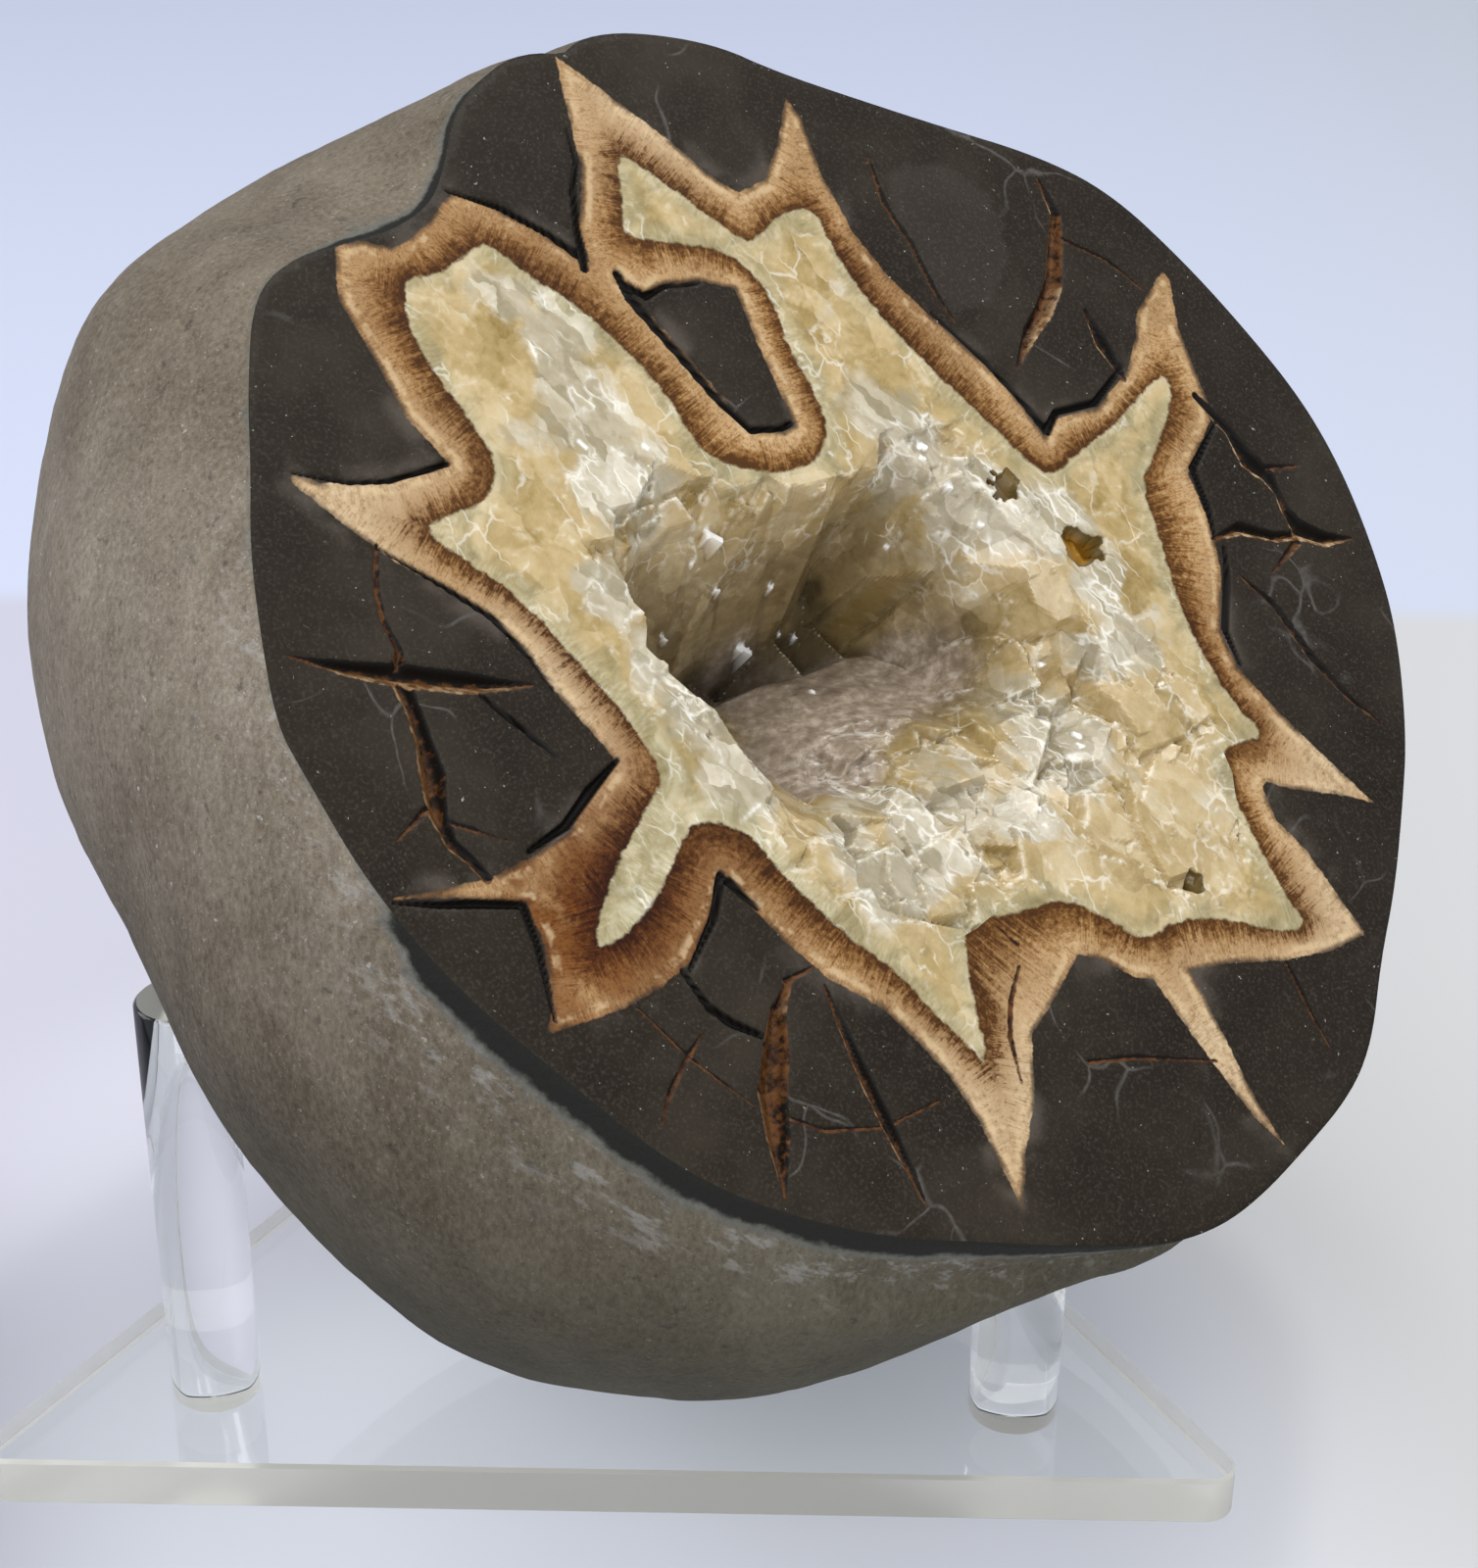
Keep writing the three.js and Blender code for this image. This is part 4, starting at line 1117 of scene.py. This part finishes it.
def build_nodule():
    rind = stone_rings()
    rim = rind[:SECTORS, :2]
    mouth = resample(MOUTH, MOUTH_STEP)
    flat, tris = fill_between([rim, mouth], face_points(rim, mouth))
    depth, tone, edge, pit, glint = calcite_surface(flat, np.clip(-within(flat, MOUTH), 0, None))
    fields = face_fields(flat, pit)
    in_calcite = smoothstep(fields["pale"], 0.2, 1.2)
    cut = smoothstep(fields["vein"], -0.1, 0.7) * (0.6 + 0.9 * np.clip(fields["vein"], 0, 2))
    cut *= 1 - 0.55 * fields["core"] * smoothstep(-fields["side"], -0.2, 0.5)
    gap = GAP_DEPTH * smoothstep(fields["gap"], -0.1, 0.35)
    depth = np.max([depth * in_calcite, cut, gap], axis=0)
    depth *= smoothstep(within(flat, rim), 0.0, 0.5)
    fields.update(depth=depth, tone=tone, edge=edge * in_calcite, pit=pit * in_calcite,
                  glint=glint)

    # The rind hangs on the face's edge points, and the hollow's wall on its mouth's points.
    wall = hollow_rings(mouth, 0)
    first = len(flat)
    wall_first = first + len(rind) - SECTORS
    everything = np.concatenate([np.column_stack([flat, depth]), rind[SECTORS:], wall])
    skin = ring_faces([0, *range(first, wall_first - 1, SECTORS)], SECTORS, wall_first - 1)
    inner = ring_faces([SECTORS, *range(wall_first, len(everything) - 1, len(mouth))],
                       len(mouth), len(everything) - 1)
    pale = fields["pale"][tris]
    slots = np.where(pale.max(1) < -0.9, STONE_SLOT, EDGE_SLOT)
    slots[pale.min(1) > 1.3] = CALCITE_SLOT
    slots = np.concatenate([slots, np.full(len(skin), RIND_SLOT),
                            np.full(len(inner), CALCITE_SLOT)])
    values = padded(fields, len(everything))
    values["vein"][first:] = values["gap"][first:] = -FAR
    values.update(rind_fields(everything))
    materials = [face_material("polished_edge", True, True), rind_material(),
                 face_material("polished_stone", True, False),
                 face_material("polished_calcite", False, True)]
    stone = new_mesh("nodule_stone", everything, np.concatenate([tris, skin, inner]), materials,
                     slots, values)

    # Broken calcite and the mouth's edge keep their facets; all else is smooth.
    broken = (depth > BROKEN_DEPTH) & (in_calcite > 0.5)
    by_mouth = (tris >= SECTORS) & (tris < SECTORS + len(mouth))
    smooth = np.ones(len(slots), bool)
    smooth[:len(tris)] = ~(broken[tris].all(1) | by_mouth.any(1))
    stone.data.polygons.foreach_set("use_smooth", smooth)
    return stone


def rind_fields(p):
    """What colours the rind: a dark collar, pale chips by the rim, a crack, and its heights, for
    painted shade towards the bottom and a darker top.
    """
    heading = np.degrees(np.arctan2(p[:, 1], p[:, 0])) % 360
    depth = p[:, 2]
    height = to_world(p)[:, 2] / MM
    lower_left = between(heading, 188, 200, 272, 296)
    bay = between(heading, 103, 110, 128, 134)
    width = 0.4 + 1.9 * lower_left + 0.4 * bay
    collar = 1 - smoothstep(depth, 0.2 * width, 1.7 * width)
    left = between(heading, 150, 168, 205, 222) * (1 - smoothstep(depth, 0.5, 8.0))
    chip = np.exp(-((heading - 181) / 3.5) ** 2) * (1 - smoothstep(depth, 1.8, 3.4))
    frost = [0.5 * left, 0.45 * lower_left * between(depth, 1.5, 3.5, 5.0, 13.0), chip]
    crack = np.full(len(p), -FAR)
    for a, b in zip(RIND_CRACK[:-1], RIND_CRACK[1:]):
        ab = b - a
        t = np.clip(((p - a[:3]) @ ab[:3]) / (ab[:3] @ ab[:3]), 0, 1)
        near = a + t[:, None] * ab
        crack = np.maximum(crack, near[:, 3] - np.linalg.norm(p - near[:, :3], axis=1))
    return {"collar": collar * (0.25 + 0.75 * np.maximum(lower_left, bay)),
            "frost": np.max(frost, axis=0), "crack": crack,
            "low": 1 - smoothstep(height, 45, 135), "high": smoothstep(height, 125, 195)}


def build_crust():
    mouth = resample(MOUTH, MOUTH_STEP)
    grid = triangle_grid(CRUST_STEP, *HOLLOW_BOX)
    flat, tris = fill_between([mouth], grid[within(grid, mouth) > 0.25])
    depth, tone, edge, pit, glint = calcite_surface(flat, np.zeros(len(flat)))
    limit = wall_limit(flat) - WALL_MARGIN
    limit[:len(mouth)] = HOLLOW_DEPTH
    depth = np.minimum(depth, limit)
    everything = np.concatenate([np.column_stack([flat, depth]), hollow_rings(mouth, CRUST_GAP)])
    shell = ring_faces([0, *range(len(flat), len(everything) - 1, len(mouth))], len(mouth),
                       len(everything) - 1, turned=True)
    fields = {"depth": depth, "tone": tone, "edge": edge, "pit": pit, "glint": glint}
    fields.update(calcite_fields(flat, pit))
    return new_mesh("crust_crystals", everything, np.concatenate([tris, shell]),
                    [crust_material()], np.zeros(len(tris) + len(shell)),
                    padded(fields, len(everything)))


# ---------- the stand

ROD_SEGMENTS = 96
PLATE_SIDE = 0.180
PLATE_CORNER = 0.004
PLATE_CORNER_SEGMENTS = 16
EASE = 0.0005


def from_bmesh(bm, name, materials):
    """The object of a finished bmesh."""
    mesh = bpy.data.meshes.new(name)
    bm.normal_update()
    bm.to_mesh(mesh)
    bm.free()
    return add_object(name, mesh, materials)


def ring_solid(name, rings, materials, end_slot):
    """A solid from rings of points, one above the other, its ends in a slot of their own."""
    bm = bmesh.new()
    rings = [[bm.verts.new(point) for point in ring] for ring in rings]
    for lower, upper in zip(rings[:-1], rings[1:]):
        for k in range(len(lower)):
            m = (k + 1) % len(lower)
            face = bm.faces.new((lower[k], lower[m], upper[m], upper[k]))
            face.material_index = 1 - end_slot
            face.smooth = end_slot == 1
    for ring in (rings[0][::-1], rings[-1]):
        bm.faces.new(ring).material_index = end_slot
    return from_bmesh(bm, name, materials)


def turn(centre, radius, angle, z):
    """The point at a radius and angle from a centre, at height z."""
    return (centre[0] + radius * math.cos(angle), centre[1] + radius * math.sin(angle), z)


def build_rod(node, name, material, end_material):
    """A round rod with eased edges and sawn ends, in its node's box."""
    low, high = (Vector(corner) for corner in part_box(node))
    centre = (low + high) / 2
    radius = (high.x - low.x) / 2
    rings = [[turn(centre, r, 2 * math.pi * k / ROD_SEGMENTS, z) for k in range(ROD_SEGMENTS)]
             for r, z in ((radius - EASE, low.z), (radius, low.z + EASE),
                          (radius, high.z - EASE), (radius - EASE, high.z))]
    return ring_solid(name, rings, [material, end_material], 1)


def build_plate(material, edge_material):
    """The triangular plate with rounded corners and eased, sawn edges."""
    low, high = (Vector(corner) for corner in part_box("stand_plate"))
    reach = PLATE_SIDE / math.sqrt(3) - 2 * PLATE_CORNER
    third = 2 * math.pi / 3
    rings = []
    for z, inset in ((low.z, EASE), (low.z + EASE, 0), (high.z - EASE, 0), (high.z, EASE)):
        rings.append([
            turn(turn((0, 0), reach, middle, z), PLATE_CORNER - inset,
                 middle - third / 2 + third * k / PLATE_CORNER_SEGMENTS, z)
            for middle in (math.pi / 2 + corner * third for corner in range(3))
            for k in range(PLATE_CORNER_SEGMENTS + 1)])
    return ring_solid("plate_clear", rings, [material, edge_material], 0)


# ---------- assembly

stone = build_nodule()
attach(stone, "root")
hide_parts("nodule")

crust = build_crust()
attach(crust, "root")
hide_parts("crystal_crust")

rod_clear = acrylic_material("rod_acrylic", (0.96, 0.97, 0.97))
sawn = acrylic_material("sawn_acrylic", (0.87, 0.85, 0.78), (0.25, 0.5), 0.6)
for side_name in ("left", "right", "back"):
    rod = build_rod("post_" + side_name, "rod_" + side_name, rod_clear, sawn)
    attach(rod, "root")
    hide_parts("post_" + side_name)
    rod.visible_shadow = rod.visible_diffuse = False

plate = build_plate(acrylic_material("plate_acrylic", (0.97, 0.98, 0.97)), sawn)
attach(plate, "root")
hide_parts("stand_plate")
plate.visible_shadow = plate.visible_diffuse = False

# ---------- floor and light

FLOOR_DROP = 0.0006
FLOOR_HALF = 8.0
FAR_LINE = 0.262
FAR_BLUR = 0.008


def build_floor():
    """A plain pale floor: bluer past a soft line behind the stand, palest before it, where two
    painted pools of light lift the stone's shadow, with painted shade at the left front.
    """
    bm = bmesh.new()
    bm.faces.new([bm.verts.new((x * FLOOR_HALF, y * FLOOR_HALF, -FLOOR_DROP))
                  for x, y in ((-1, -1), (1, -1), (1, 1), (-1, 1))])
    n = Nodes("floor")
    x, y = (n.add("SeparateXYZ", axis, {0: n.where}) for axis in (0, 1))
    # Painted shade: the floor is darker at the left front.
    left = n.mix(n.step(y, 0.04, -0.07), (0.51, 0.5, 0.58), (0.29, 0.295, 0.345))
    near = n.mix(n.step(x, -0.13, 0.05), left, (0.56, 0.555, 0.55))
    # Painted light: two paler pools round the stand, against the stone's shadow.
    for at, inner, outer, colour in (((0.01, -0.045, 0), 0.04, 0.125, (0.88, 0.9, 0.98)),
                                     ((-0.06, 0.04, 0), 0.015, 0.07, (0.62, 0.61, 0.69))):
        off = n.add("VectorMath", "Value", {0: n.where, 1: at}, operation="DISTANCE")
        near = n.mix(n.step(off, outer, inner), near, colour)
    far = n.mix(n.step(x, 0.05, 0.45), (0.55, 0.585, 0.72), (0.53, 0.56, 0.59))
    colour = n.mix(n.step(y, FAR_LINE - FAR_BLUR, FAR_LINE + FAR_BLUR), near, far)
    return from_bmesh(bm, "floor", [n.finish(Base_Color=colour, Roughness=0.6)])


build_floor()


def area_light(name, at, target, size, power, colour):
    data = bpy.data.lights.new(name, "AREA")
    data.shape = "RECTANGLE"
    data.size, data.size_y = size
    data.energy = power
    data.color = colour
    light = add_object(name, data)
    light.location = at
    light.rotation_euler = (Vector(target) - Vector(at)).to_track_quat("-Z", "Y").to_euler()


STONE_MIDDLE = (0, 0, 0.1)
area_light("top", (0.15, 0.05, 1.25), STONE_MIDDLE, (0.7, 0.7), 5.2, (1, 0.99, 0.96))
area_light("spark", (0.15, 0.05, 1.2), STONE_MIDDLE, (0.1, 0.1), 1.6, (1, 1, 1))
area_light("front", (-0.25, -1, 0.85), STONE_MIDDLE, (0.6, 0.6), 4.7, (1, 0.98, 0.93))
area_light("low", (0.15, -1.1, 0.4), (0, -0.02, 0.02), (0.9, 0.4), 2.4, (1, 0.98, 0.95))
area_light("left", (-1, 0.1, 0.6), STONE_MIDDLE, (0.6, 0.6), 2.9, (0.94, 0.97, 1))

world = bpy.data.worlds.new("studio")
world.use_nodes = True
sky = world.node_tree.nodes["Background"].inputs
sky["Color"].default_value = (0.82, 0.86, 0.93, 1)
sky["Strength"].default_value = 0.85
bpy.context.scene.world = world
bpy.context.scene.view_settings.view_transform = "Standard"
